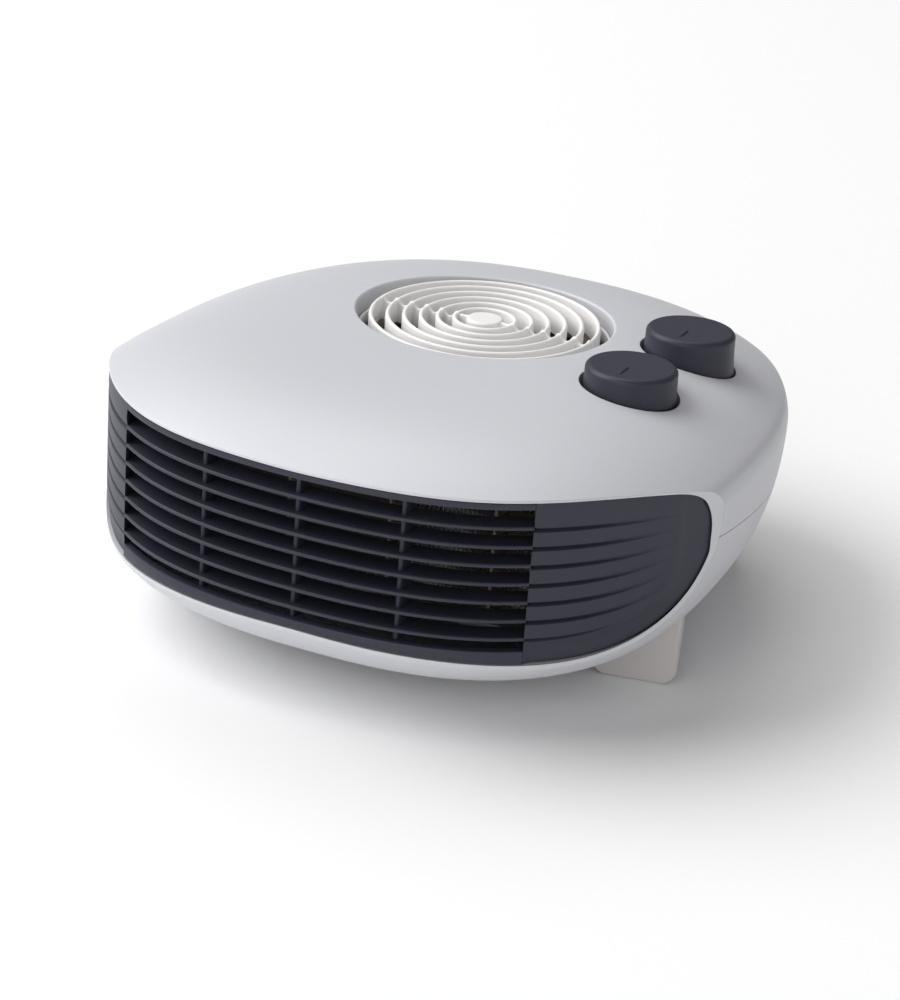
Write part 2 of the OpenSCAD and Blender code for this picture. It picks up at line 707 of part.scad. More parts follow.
module lug(p, z, h) {
    side = atan2(fan_y - p[1], -p[0]);
    turn = p[1] > fan_y ? side : p[0] > 0 ? 180 : 0;
    translate([p[0], p[1], z]) {
        cylinder(h = h, r = lug_r);
        rotate([0, 0, turn]) translate([lug_r / 2, -lug_r + 1, 0])
            cube([lug_out - 1 - lug_r / 2, 2 * lug_r - 2, h]);
    }
}
inlet_hole_r = 42;
module fan_housing() {
    color(khaki) difference() {
        union() {
            duct_form(sheet_t, floor_z, lid_z);
            for (p = foot_lugs) lug(p, floor_z, lug_h);
            for (p = lid_lugs) lug(p, lid_z - lid_lug_h, lid_lug_h);
            for (s = [-1, 1]) translate([s * mount_x, fan_y, mount_z])
                cylinder(h = floor_z + 1 - mount_z, r = 4);
            for (s = [-1, 1]) for (z = element_ear_z)
                translate([s * (ear_x - 2) - ear_r - 2, duct_front, z - ear_r])
                    cube([2 * ear_r + 4, ear_t, 2 * ear_r]);
        }
        duct_form(0, floor_z + sheet_t, tall, 1);
        translate([0, fan_y, floor_z - 1]) cylinder(h = 4, r = 12);
        at_each(foot_lugs) translate([0, 0, floor_z - 1]) cylinder(h = lug_h + 2, r = screw_hole);
        at_each(lid_lugs) translate([0, 0, lid_z - 9]) cylinder(h = 10, r = thread_r);
        for (s = [-1, 1]) translate([s * mount_x, fan_y, mount_z - 1]) cylinder(h = 6, r = thread_r);
        for (s = [-1, 1]) for (z = element_ear_z)
            translate([s * ear_x, duct_front - 1, z]) along_y() cylinder(h = ear_t + 2, r = thread_r);
    }
}
module fan_housing_lid() {
    color(khaki) difference() {
        union() {
            translate([0, 0, lid_z]) linear_extrude(sheet_t) polygon(duct_outline(sheet_t));
            for (p = lid_lugs) lug(p, lid_z, sheet_t);
        }
        translate([0, fan_y, lid_z - 1]) cylinder(h = sheet_t + 2, r = inlet_hole_r);
        at_each(lid_lugs) translate([0, 0, lid_z - 1]) cylinder(h = sheet_t + 2, r = screw_hole);
    }
}
module lid_screws() {
    at_each(lid_lugs) translate([0, 0, lid_z + sheet_t]) screw(8);
}
module housing_screws() {
    at_each(foot_lugs) translate([0, 0, floor_z + lug_h]) screw(14);
}

wheel_hub_r = 7;
wheel_hub_h = 17;
vane_in = 27;
vane_h = 26;
back_t = 2;
bore_r = shaft_r + press_gap;
clip_z = wheel_z + wheel_hub_h + 0.3;
clip_h = 1.5;
shaft_low = 13.5;
shaft_top = clip_z + clip_h + 2;
module fan_wheel() {
    ring_h = 2;
    ring_in = vane_in + 10;
    vane_t = 1.2;
    lean = 22;
    // Curved vane from the inner circle to the rim
    steps = 5;
    function spine(q) =
        let (r = vane_in + (wheel_r - 1 - vane_in) * q / steps, a = lean * pow(q / steps, 1.6))
        [r * cos(a), r * sin(a)];
    half = [0, vane_t / 2];
    vane = concat([for (q = [0 : steps]) spine(q) - half],
        [for (q = [steps : -1 : 0]) spine(q) + half]);
    color(khaki) translate([0, fan_y, wheel_z]) difference() {
        union() {
            cylinder(h = back_t, r = wheel_r);
            cylinder(h = wheel_hub_h, r = wheel_hub_r);
            for (k = [0 : vanes - 1]) rotate([0, 0, k * 360 / vanes]) translate([0, 0, back_t - 0.5])
                linear_extrude(vane_h + 1) polygon(vane);
            translate([0, 0, back_t + vane_h]) tube(ring_h, wheel_r, ring_in);
        }
        translate([0, 0, -1]) cylinder(h = wheel_hub_h + 2, r = bore_r);
    }
}
module wheel_clip() {
    color(steel) translate([0, fan_y, clip_z]) difference() {
        tube(clip_h, wheel_hub_r - 1.5, bore_r);
        translate([-0.8, -wheel_hub_r, -1]) cube([1.6, wheel_hub_r, clip_h + 2]);
    }
}
module motor_shaft() {
    color(steel) translate([0, fan_y, shaft_low]) cylinder(h = shaft_top - shaft_low, r = shaft_r);
}
module motor_rotor() {
    ring_h = 2.5;
    color(steel) translate([0, fan_y, stack_z]) difference() {
        union() {
            cylinder(h = stack_h, r = rotor_r);
            translate([0, 0, -ring_h]) cylinder(h = stack_h + 2 * ring_h, r = rotor_r - 2);
        }
        translate([0, 0, -ring_h - 1]) cylinder(h = stack_h + 2 * ring_h + 2, r = bore_r);
    }
}

stack_half = 24;
leg_near = 32;
leg_far = 40;
window_near = 20;
window_half = 14;
coil_half = 13;
bolt_hole = screw_r + 0.4 + hole_gap;
bolt_r = screw_r + 0.4;
module motor_stator() {
    notch = 3;
    color(steel) translate([0, fan_y, stack_z]) difference() {
        translate([-stack_half, -20, 0]) cube([2 * stack_half, 20 + leg_far, stack_h]);
        translate([-window_half, window_near, -1])
            cube([2 * window_half, leg_near - window_near, stack_h + 2]);
        translate([0, 0, -1]) cylinder(h = stack_h + 2, r = rotor_r + air_gap);
        for (s = [-1, 1]) translate([s * bolt_x, 0, -1]) cylinder(h = stack_h + 2, r = bolt_hole);
        for (s = [-1, 1]) rotate([0, 0, s * 52]) translate([-notch / 2, s * (rotor_r - 1), -1])
            cube([notch, 4, stack_h + 2]);
    }
}
module motor_coil() {
    rise = 8.5;
    reach = 9.5;
    flange_t = 1.5;
    color(copper) translate([0, fan_y, 0]) difference() {
        union() {
            translate([-coil_half + flange_t, leg_near - reach, stack_z - rise])
                cube([2 * (coil_half - flange_t), leg_far - leg_near + 2 * reach, stack_h + 2 * rise]);
            for (x = [-coil_half, coil_half - flange_t])
                translate([x, leg_near - reach - 0.5, stack_z - rise - 0.5])
                    cube([flange_t, leg_far - leg_near + 2 * reach + 1, stack_h + 2 * rise + 1]);
        }
        translate([-coil_half - 1, leg_near - fit_gap, stack_z - fit_gap])
            cube([2 * coil_half + 2, leg_far - leg_near + 2 * fit_gap, stack_h + 2 * fit_gap]);
    }
}

bush_r = 5;
bush_h = 6;
boss_r = bush_r + 3;
bracket_w = 18;
upper_bush_z = upper_bracket_z;
lower_bush_z = lower_bracket_z + bracket_t - bush_h;
module bracket_plate(half, z, boss_z, pillar_z, pillar_h, holes) {
    difference() {
        union() {
            translate([-half, -bracket_w / 2, z]) cube([2 * half, bracket_w, bracket_t]);
            translate([0, 0, boss_z]) cylinder(h = bush_h, r = boss_r);
            for (s = [-1, 1]) translate([s * bolt_x, 0, pillar_z]) cylinder(h = pillar_h, r = 4);
        }
        translate([0, 0, boss_z - 1]) cylinder(h = bush_h + 2, r = bush_r + press_gap);
        for (s = [-1, 1]) translate([s * bolt_x, 0, z - 10]) cylinder(h = 20, r = bolt_hole);
        for (x = holes) translate([x, 0, z - 1]) cylinder(h = bracket_t + 2, r = screw_hole);
    }
}
module upper_bearing_bracket() {
    color(zinc) translate([0, fan_y, 0]) bracket_plate(mount_x + 5, upper_bracket_z, upper_bush_z,
        stack_top, upper_bracket_z - stack_top + 1, [-mount_x, mount_x]);
}
module lower_bearing_bracket() {
    low = lower_bracket_z + bracket_t;
    color(zinc) translate([0, fan_y, 0]) bracket_plate(bolt_x + 7, lower_bracket_z, lower_bush_z,
        low - 1, stack_z - low + 1, []);
}
module bearing(z) {
    color(bronze) translate([0, fan_y, z]) tube(bush_h, bush_r, shaft_r + run_gap);
}
module upper_bearing() {
    bearing(upper_bush_z);
}
module lower_bearing() {
    bearing(lower_bush_z);
}
module motor_bolts() {
    nut_h = 2.5;
    color(steel) for (s = [-1, 1]) translate([s * bolt_x, fan_y, 0]) {
        translate([0, 0, lower_bracket_z]) cylinder(h = mount_z + 3 - lower_bracket_z, r = bolt_r);
        translate([0, 0, lower_bracket_z - head_h]) cylinder(h = head_h, r = head_r + 0.5);
        translate([0, 0, mount_z]) cylinder(h = nut_h, r = head_r + 0.6, $fn = 6);
    }
}
module motor_mount_screws() {
    for (s = [-1, 1]) translate([s * mount_x, fan_y, upper_bracket_z]) mirror([0, 0, 1]) screw(7);
}

// Heating element: an open frame with upright fins that carry the coils
frame_t = 3;
frame_y = duct_front - 14;
frame_d = 14;
frame_low = lid_z + 1 - 56;
frame_h = 56;
frame_half = duct_half + 1;
fin_x = [-60, -20, 20, 60];
fin_t = 1;
coil_y = duct_front - 7;
coil_r = 2.6;
coil_rows = 6;
coil_pitch = 7.6;
coil_z = frame_low + frame_h / 2 - coil_pitch * (coil_rows - 1) / 2;
module element_frame() {
    color(zinc) difference() {
        union() {
            translate([-frame_half, frame_y, frame_low]) cube([2 * frame_half, frame_d, frame_h]);
            for (s = [-1, 1]) for (z = element_ear_z)
                translate([s * (ear_x - 2) - ear_r - 2, duct_front - ear_t, z - ear_r])
                    cube([2 * ear_r + 4, ear_t, 2 * ear_r]);
        }
        translate([-frame_half + frame_t, frame_y - 1, frame_low + frame_t])
            cube([2 * (frame_half - frame_t), frame_d + 2, frame_h - 2 * frame_t]);
        for (s = [-1, 1]) for (z = element_ear_z)
            translate([s * ear_x, duct_front - ear_t - 1, z]) along_y()
                cylinder(h = ear_t + 2, r = screw_hole);
    }
}
module mica_supports() {
    color(mica) for (x = fin_x) difference() {
        translate([x - fin_t / 2, frame_y + 1.5, frame_low + frame_t])
            cube([fin_t, frame_d - 3, frame_h - 2 * frame_t]);
        for (k = [0 : coil_rows - 1]) translate([x - fin_t, coil_y, coil_z + k * coil_pitch])
            rotate([0, 90, 0]) cylinder(h = 2 * fin_t, r = coil_r + fit_gap);
    }
}
module heating_coils() {
    coil_end = frame_half - frame_t - 3;
    link_r = 0.9;
    color(steel) {
        for (k = [0 : coil_rows - 1]) translate([-coil_end, coil_y, coil_z + k * coil_pitch])
            rotate([0, 90, 0]) cylinder(h = 2 * coil_end, r = coil_r);
        for (k = [0 : coil_rows - 2])
            translate([(k % 2 == 0 ? 1 : -1) * (coil_end - 2), coil_y, coil_z + k * coil_pitch])
                cylinder(h = coil_pitch, r = link_r);
    }
}
module element_screws() {
    for (s = [-1, 1]) for (z = element_ear_z)
        translate([s * ear_x, duct_front - ear_t, z]) rotate([90, 0, 0]) screw(4.5);
}
cutout_r = 7;
cutout_h = 6;
cutout_y = duct_front + 18;
module thermal_cutout() {
    color(black) translate([0, cutout_y, lid_z - cutout_h]) {
        cylinder(h = cutout_h, r = cutout_r);
        for (s = [-1, 1]) translate([s * (cutout_r + 2) - 3, -2, cutout_h - 2]) cube([6, 4, 1]);
    }
}
fuse_r = 2.2;
module thermal_fuse() {
    color(steel) translate([24, cutout_y, lid_z - fuse_r]) rotate([0, 90, 0])
        cylinder(h = 12, r = fuse_r - 0.1);
}

module terminal_block() {
    color(beige) difference() {
        translate([-block_w / 2, block_y - block_d / 2, block_z]) cube([block_w, block_d, block_h]);
        for (s = [-1, 1]) translate([s * block_screw_x, block_y, block_z - 1])
            cylinder(h = block_h + 2, r = screw_hole);
        for (x = [-8, 0, 8]) translate([x, block_y - block_d, block_z + block_h / 2]) along_y()
            cylinder(h = 2 * block_d, r = 1.8);
    }
}
module terminal_screws() {
    for (s = [-1, 1]) translate([s * block_screw_x, block_y, block_z + block_h]) screw(block_h + 6);
}

// Tube with eight sides along a path, mitred at its bends
module lead(path, r) {
    n = len(path);
    function along(k) = path[k + 1] - path[k];
    function unit(v) = v / norm(v);
    function heading(k) = k == 0 ? unit(along(0)) : k == n - 1 ? unit(along(n - 2))
        : unit(unit(along(k - 1)) + unit(along(k)));
    side = unit(cross(unit(path[n - 1] - path[0]) + [0.11, 0.07, 0.31], [0.2, 0.1, 1]));
    rings = [for (k = [0 : n - 1])
        let (t = heading(k), u = unit(side - t * (side * t)), v = cross(t, u))
        [for (j = [0 : 7]) path[k] + r * (u * cos(45 * j) + v * sin(45 * j))]];
    faces = concat(
        [[for (j = [0 : 7]) j]],
        [for (k = [0 : n - 2]) for (j = [0 : 7])
            let (a = 8 * k + j, b = 8 * k + (j + 1) % 8)
            each [[a, a + 8, b + 8], [a, b + 8, b]]],
        [[for (j = [7 : -1 : 0]) 8 * (n - 1) + j]]);
    polyhedron([for (g = rings) each g], faces, convexity = 6);
}
block_top = block_z + block_h + 0.2;
lead_r = 1.7;
coil_face = fan_y + leg_far + 9.5 + 0.7;
module switch_lead() {
    x0 = knob_at[0][0];
    y0 = knob_at[0][1];
    color(black) lead([[x0 - 4.5, y0, control_z - 0.3], [x0 - 4.5, y0, control_z - 5],
        [x0 - 6, y0 + 3, control_z - 10],
        [x0 - 8, y0 + 20, control_z - 12], [x0 - 11, y0 + 70, control_z - 15],
        [44, block_y - 4, 46], [12, block_y - 2, block_top + 9], [8, block_y, block_top + 4],
        [8, block_y, block_top]], lead_r);
}
module thermostat_lead() {
    x0 = knob_at[1][0];
    y0 = knob_at[1][1];
    color(black) lead([[x0, y0, control_z - 0.3], [x0, y0, control_z - 5],
        [x0, y0 + 3, control_z - 9],
        [x0 - 4, y0 + 18, control_z - 12], [48, block_y + 6, 50],
        [9, block_y + 3, block_top + 12], [3.5, block_y + 1, block_top + 5],
        [3.5, block_y + 1, block_top]], lead_r);
}
module motor_lead() {
    color(black) lead([[-3, coil_face, 31], [-3, coil_face + 4, 31],
        [-4, block_y - 4, block_top + 7], [-3, block_y - 2, block_top + 4],
        [-3, block_y - 2, block_top]], lead_r);
}
module element_lead() {
    x0 = -frame_half - 0.3;
    color(black) lead([[x0, coil_y, 61], [x0 - 3, coil_y, 61], [x0 - 5, duct_front + 6, 61],
        [x0 + 4, duct_front + 34, 61], [x0 + 6, fan_y, 60], [-66, fan_y + 38, 58],
        [-40, block_y - 4, 46], [-13, block_y - 2, block_top + 9], [-9, block_y, block_top + 4],
        [-9, block_y, block_top]], lead_r);
}
module cord_gland() {
    neck = gland_bore - 0.2;
    color(black) translate([0, gland_y, gland_z]) along_y() difference() {
        union() {
            cylinder(h = 3, r = pocket_r - 1.5);
            translate([0, 0, -gland_wall - 1.5]) cylinder(h = gland_wall + 2, r = neck);
            translate([0, 0, -gland_wall - 2.5]) cylinder(h = 2.3, r = neck + 1.2);
        }
        translate([0, 0, -gland_wall - 4]) cylinder(h = gland_wall + 10, r = 3.4);
    }
}
module case_screws() {
    for (p = case_places) translate(p) mirror([0, 0, 1])
        screw(split_low + 10 - p[2]);
}

// Cutter with the bowl's surface round a foot as its underside
module bowl_patch(x, y, i) {
    w = foot_w / 2 + 8;
    d = foot_t / 2 + 8;
    nx = 10;
    ny = 3;
    low = [for (a = [0 : nx]) for (b = [0 : ny])
        let (px = x - w + 2 * w * a / nx, py = y - d + 2 * d * b / ny)
        [px, py, bottom_at(px, py, i)]];
    m = ny + 1;
    q = len(low);
    top = [for (p = low) [p[0], p[1], 90]];
    faces = concat(
        [for (a = [0 : nx - 1]) for (b = [0 : ny - 1])
            let (k = a * m + b)
            each [[k, k + m, k + m + 1], [k, k + m + 1, k + 1],
                [q + k, q + k + m + 1, q + k + m], [q + k, q + k + 1, q + k + m + 1]]],
        [for (a = [0 : nx - 1])
            let (k = a * m, j = a * m + ny)
            each [[k, q + k, q + k + m], [k, q + k + m, k + m],
                [j, j + m, q + j + m], [j, q + j + m, q + j]]],
        [for (b = [0 : ny - 1])
            let (k = b, j = nx * m + b)
            each [[k, k + 1, q + k + 1], [k, q + k + 1, q + k],
                [j, q + j, q + j + 1], [j, q + j + 1, j + 1]]]);
    polyhedron(concat(low, top), faces, convexity = 4);
}
foot_bore_low = 5;
foot_screw = 18;
// The patch is flat between its points, so it needs a little more room than a fit
patch_gap = fit_gap + 0.15;
// A foot: a slab that tapers downwards, with round lower corners, cut to the bowl
module foot(s, j) {
    corner_r = 6;
    slim = 3;
    high = 60;
    p = foot_place(s, j);
    half = foot_w / 2;
    face = j == 0 ? 1 : -1;
    outline = concat([[-half, high], [-half, corner_r]],
        [for (a = [195 : 15 : 255]) [-half + corner_r + corner_r * cos(a), corner_r + corner_r * sin(a)]],
        [[-half + corner_r, 0], [half - corner_r, 0]],
        [for (a = [285 : 15 : 345]) [half - corner_r + corner_r * cos(a), corner_r + corner_r * sin(a)]],
        [[half, corner_r], [half, high]]);
    section = [[-foot_t / 2 + slim / 2, 0], [foot_t / 2 - slim / 2, 0],
        [foot_t / 2, 24], [foot_t / 2, high], [-foot_t / 2, high], [-foot_t / 2, 24]];
    color(beige) difference() {
        translate([p[0], p[1], 0]) rotate([0, 0, s * face * foot_turn]) intersection() {
            rotate([90, 0, 0]) translate([0, 0, -foot_t]) linear_extrude(2 * foot_t) polygon(outline);
            rotate([90, 0, 90]) translate([0, 0, -half - 1]) linear_extrude(foot_w + 2) polygon(section);
        }
        bowl_patch(p[0], p[1], -patch_gap);
        translate([p[0], p[1], foot_bore_low]) cylinder(h = tall, r = thread_r);
    }
}
module front_left_foot() {
    foot(-1, 0);
}
module front_right_foot() {
    foot(1, 0);
}
module back_left_foot() {
    foot(-1, 1);
}
module back_right_foot() {
    foot(1, 1);
}
module foot_screws() {
    for (s = [-1, 1]) for (j = [0, 1]) let (p = foot_place(s, j))
        translate([p[0], p[1], pad_top(s, j)]) screw(foot_screw);
}

top_cover();
bottom_cover();
front_grille();
inlet_grille();
power_knob();
thermostat_knob();
power_spindle();
thermostat_spindle();
power_switch_body();
thermostat_body();
control_screws();
fan_housing();
fan_housing_lid();
lid_screws();
housing_screws();
fan_wheel();
wheel_clip();
motor_shaft();
motor_rotor();
motor_stator();
motor_coil();
upper_bearing_bracket();
lower_bearing_bracket();
upper_bearing();
lower_bearing();
motor_bolts();
motor_mount_screws();
element_frame();
mica_supports();
heating_coils();
element_screws();
thermal_cutout();
thermal_fuse();
terminal_block();
terminal_screws();
switch_lead();
thermostat_lead();
motor_lead();
element_lead();
cord_gland();
case_screws();
front_left_foot();
front_right_foot();
back_left_foot();
back_right_foot();
foot_screws();
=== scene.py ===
# %% [markdown]
# # Flat fan heater
# The looks of the heater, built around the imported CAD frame. The outlet faces -Y, +X is to the
# right of someone who looks at it, and the floor is at z = 0. Lengths are in millimetres until
# a mesh is made.

import json

import bpy
import numpy as np
from mathutils import Matrix, Vector
from mathutils.geometry import delaunay_2d_cdt

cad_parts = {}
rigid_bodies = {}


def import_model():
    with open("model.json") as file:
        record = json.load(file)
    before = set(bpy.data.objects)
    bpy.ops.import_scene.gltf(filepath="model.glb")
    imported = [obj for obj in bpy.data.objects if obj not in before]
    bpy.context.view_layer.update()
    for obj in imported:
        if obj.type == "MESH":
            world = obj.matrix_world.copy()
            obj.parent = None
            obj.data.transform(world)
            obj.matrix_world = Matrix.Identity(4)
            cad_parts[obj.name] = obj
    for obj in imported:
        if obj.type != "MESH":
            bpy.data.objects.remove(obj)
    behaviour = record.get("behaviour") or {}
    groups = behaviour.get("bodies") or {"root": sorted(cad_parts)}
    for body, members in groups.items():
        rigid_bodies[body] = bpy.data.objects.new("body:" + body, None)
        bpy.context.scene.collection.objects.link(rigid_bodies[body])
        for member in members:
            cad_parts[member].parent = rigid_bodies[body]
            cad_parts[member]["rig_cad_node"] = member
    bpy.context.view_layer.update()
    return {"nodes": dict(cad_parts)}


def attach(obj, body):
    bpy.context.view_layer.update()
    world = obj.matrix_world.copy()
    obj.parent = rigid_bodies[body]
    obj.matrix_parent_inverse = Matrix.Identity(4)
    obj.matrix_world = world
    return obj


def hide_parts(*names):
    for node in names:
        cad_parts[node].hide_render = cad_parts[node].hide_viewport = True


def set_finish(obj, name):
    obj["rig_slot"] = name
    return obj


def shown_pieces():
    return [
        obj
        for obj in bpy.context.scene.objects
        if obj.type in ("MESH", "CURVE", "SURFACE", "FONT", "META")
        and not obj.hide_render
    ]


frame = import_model()

# %% [markdown]
# ## The form in formulas
# The heater's case is two plastic mouldings that follow one smooth form: a flat crown, a crease,
# a belt that bulges a little, and a deep bowl. It could be a box that is bevelled, subdivided and
# pushed into shape by hand, but then the covers, the grille and the feet wouldn't meet. Formulas
# let every piece ask for the same height or place. In plan the outline is a superellipse around
# a middle point, blunter towards the front.

# %% Sizes of the form
MM = 0.001
PLAN_Y, HALF_W, REACH_FRONT, REACH_BACK = -24.7, 125.5, 122.5, 160.7
BLUNT_FRONT, BLUNT_BACK = 2.53, 2.37
CROWN_Z, CREASE_Z, BELT_Z, BOWL_Z = 103.6, 84.0, 75.6, 9.0
CREASE_K = 1 - 2.2 / HALF_W
CROWN_N, BOWL_N, BOWL_SIDE_N, BOWL_FALL_N = 4.6, 6, 0.4, 2.2
TINY = 1e-9
print("form", 2 * HALF_W, "wide, from", BOWL_Z, "to", CROWN_Z, "high")


# %% Outline in plan
def blunt_and_reach(ahead):
    """Exponent and half axis of the superellipse, before and behind the middle point."""
    return np.where(ahead, BLUNT_FRONT, BLUNT_BACK), np.where(ahead, REACH_FRONT, REACH_BACK)


def plan_radius(t):
    """Radius of the outline at angle t from straight ahead, towards +X: one over the n-norm of
    the direction, each part divided by its half axis."""
    n, reach = blunt_and_reach(np.cos(t) > 0)
    return ((np.abs(np.sin(t)) / HALF_W) ** n + (np.abs(np.cos(t)) / reach) ** n) ** (-1 / n)


def plan_place(t, k):
    """Place in plan a share k of the way to the outline at angle t."""
    r = k * plan_radius(t)
    return r * np.sin(t), PLAN_Y - r * np.cos(t)


def plan_share(x, y, inset=0.0):
    """How far out a place is, as a share of the outline drawn in by inset: the n-norm of the
    place, each part divided by its half axis."""
    n, reach = blunt_and_reach(y < PLAN_Y)
    reach = reach - inset
    return ((np.abs(x) / (HALF_W - inset)) ** n + (np.abs(y - PLAN_Y) / reach) ** n) ** (1 / n)


print("outline ahead, aside and behind", np.round(plan_radius(np.radians([0, 90, 180])), 1))


# %% Heights of the crown, the bowl and the wall
def crown_height(x, y, inset=0.0):
    """Crease height plus the crown's rise times one minus the share to a power; the power
    grows by up to 1 towards the front."""
    ahead = np.maximum(0, PLAN_Y - y)
    power = CROWN_N + ahead ** 2 / (x ** 2 + (PLAN_Y - y) ** 2 + TINY)
    share = plan_share(x, y, inset) / CREASE_K
    return CREASE_Z + (CROWN_Z - inset - CREASE_Z) * (1 - share ** power)


def bowl_blunt(x, y):
    """The bowl's exponent, which grows a little towards the sides."""
    return BOWL_N + BOWL_SIDE_N * x ** 2 / (x ** 2 + (PLAN_Y - y) ** 2 + TINY)


def bowl_height(x, y, inset=0.0):
    """Height of the bowl's surface at a place in plan: a superellipse of the share there."""
    k = np.clip(plan_share(x, y, inset), 0, 1)
    fall = np.sqrt(1 - k ** bowl_blunt(x, y)) ** (2 / BOWL_FALL_N)
    return BELT_Z - (BELT_Z - BOWL_Z - inset) * fall


def belt_share(z):
    """Share of the outline in the belt: a parabola, widest at its foot."""
    return 1 - (1 - CREASE_K) * ((z - BELT_Z) / (CREASE_Z - BELT_Z)) ** 2


def wall_share(z, t):
    """Share of the outline that the wall reaches at height z and angle t: a parabola in the
    belt, the bowl's superellipse below it."""
    fall = np.clip((BELT_Z - z) / (BELT_Z - BOWL_Z), 0, 1) ** BOWL_FALL_N
    below = (1 - fall) ** (1 / (BOWL_N + BOWL_SIDE_N * np.sin(t) ** 2))
    return np.where(z > BELT_Z, belt_share(z), below)


def wall_level(x, y, z):
    """Zero on the wall and rising outwards. In the bowl it is the superellipse itself, so it is
    smooth down to the middle of the underside."""
    k, n = plan_share(x, y), bowl_blunt(x, y)
    fall = np.maximum((BELT_Z - z) / (BELT_Z - BOWL_Z), 0) ** BOWL_FALL_N
    return np.where(z > BELT_Z, n * (k - belt_share(z)), k ** n + fall - 1)


print("crown and bowl 60 aside", np.round([crown_height(60, PLAN_Y), bowl_height(60, PLAN_Y)], 1))

# %% [markdown]
# ## Front sheet and parting line
# The outlet grille lies in a sheet that bows forward and sweeps back at its ends, and the covers
# meet at a line that falls towards the back. Curves drawn by hand could stand for both, but the
# places where they cross each other and the outline would be guesses. With formulas, halving an
# interval again and again finds those places to any accuracy.

# %% Front sheet, parting line and opening
FRONT_Y, SHEET_R, SHEET_WRAP, WRAP_AT = -136.0, 258.0, 23.9, 100
SPLIT_TOP, SPLIT_Z, SPLIT_FALL, SPLIT_BACK = 71.7, 66.5, 0.12, 75
END_GAP, CORNER_Z, CORNER_W, CORNER_N = 2, 63.0, 13.5, 3.9


def sheet(x):
    """Front sheet: a parabola with a fourth-power sweep towards the ends."""
    return FRONT_Y + x ** 2 / (2 * SHEET_R) + SHEET_WRAP * (np.abs(x) / WRAP_AT) ** 4


def sheet_slope(x):
    """Slope of the sheet on its right half: the derivative of its formula."""
    return x / SHEET_R + 4 * SHEET_WRAP * x ** 3 / WRAP_AT ** 4


def split_height(t):
    """Height of the parting line at angle t: level in front, then falling towards the back."""
    y = plan_place(t, 1.0)[1]
    return np.minimum(SPLIT_TOP, SPLIT_Z - SPLIT_FALL * (y - FRONT_Y - SPLIT_BACK))


def form_top(x, inset=0.0):
    """Upper edge of the cut that the front sheet makes in the form."""
    k = plan_share(x, sheet(x), inset)
    belt = BELT_Z + (CREASE_Z - BELT_Z) * np.sqrt(np.clip((1 - k) / (1 - CREASE_K), 0, 1))
    return np.where(k <= CREASE_K, crown_height(x, sheet(x), inset), belt)


def opening_end(inset):
    """Half width of the grille or of its seat."""
    return HALF_W - END_GAP - inset


def edge_top(x, inset):
    """Upper edge of the grille or its seat: the form's, with corners rounded off by the n-th
    root of one minus w to the n, above the corner's height."""
    start = HALF_W - CORNER_W
    w = np.clip((np.abs(x) - start) / (opening_end(inset) - start), 0, 1)
    return CORNER_Z + (form_top(x, inset) - CORNER_Z) * (1 - w ** CORNER_N) ** (1 / CORNER_N)


def edge_bottom(x, inset=0.0):
    """Lower edge of the opening in the front sheet."""
    return bowl_height(x, sheet(x), inset)


print("opening in the middle from", np.round([edge_bottom(0.0), form_top(0.0)], 1))


# %% Where the pieces meet
def smooth(a, b, x):
    """Ramp from 0 at a to 1 at b: w squared times (3 - 2w)."""
    w = np.clip((x - a) / (b - a), 0, 1)
    return w * w * (3 - 2 * w)


def halving(too_far, low, high, steps=44):
    """Where too_far turns true between low and high, for arrays as for numbers: each step
    keeps the half in which it turns."""
    for _ in range(steps):
        middle = (low + high) / 2
        far = too_far(middle)
        low, high = np.where(far, low, middle), np.where(far, middle, high)
    return (low + high) / 2


def sheet_share(t):
    """Share of the outline at which the ray at angle t meets the front sheet, found by halving
    between 0.5 and 1.6. A ray that runs sideways or back never meets it and gets a 9."""
    def ahead(k):
        x, y = plan_place(t, k)
        return y < sheet(x)
    return np.where(np.abs(t) < 1.5, halving(ahead, 0.5 + 0 * t, 1.6 + 0 * t), 9.0)


def sheet_place(t):
    """Place in plan at which the ray at angle t meets the front sheet."""
    return plan_place(t, sheet_share(t))


def below_split(t):
    """Whether the sheet's lower edge at angle t has come up to the parting line."""
    return bowl_height(*sheet_place(t)) > split_height(t)


FIRST_T, LAST_T, AT_OUTLINE = 0.6, 1.45, 0.9999
T_CREASE = float(halving(lambda t: sheet_share(t) > CREASE_K, FIRST_T, LAST_T))
T_END = float(halving(lambda t: sheet_share(t) > AT_OUTLINE, FIRST_T, LAST_T))
T_SPLIT = float(halving(below_split, FIRST_T, T_END))
X_SPLIT, X_END = (float(sheet_place(np.array(t))[0]) for t in (T_SPLIT, T_END))
print("crease, parting line and end meet the sheet at", np.degrees([T_CREASE, T_SPLIT, T_END]))

# %% [markdown]
# ## Making meshes
# Each piece below is made of patches, and a patch is a tuple of places, normals and faces. Boxes
# and cylinders with modifiers could be rounded too, but surfaces that several pieces share would
# need dense meshes, and reflections would still show them. Arrays worked out from a formula are
# quick, and normals from the same formula leave no trace of the mesh in the shading. A patch
# without normals gets them from its faces, with edges kept sharp above an angle.


# %% Faces and objects
def grid_faces(rows, columns, closed=False, flip=False):
    """Quads between neighbours of a grid that is stored row by row."""
    r, c = np.meshgrid(np.arange(rows - 1), np.arange(columns if closed else columns - 1),
                       indexing="ij")
    a, b = r * columns + c, r * columns + (c + 1) % columns
    quads = np.stack([a, b, b + columns, a + columns], -1).reshape(-1, 4)
    return quads[:, ::-1] if flip else quads


def facing(places, normals, faces):
    """Faces turned so that each goes round the way its points' normals say."""
    corner = places[faces]
    across = np.cross(corner[:, 2] - corner[:, 0], corner[:, -1] - corner[:, 1])
    back = (across * normals[faces].sum(1)).sum(1) < 0
    return np.where(back[:, None], faces[:, ::-1], faces)


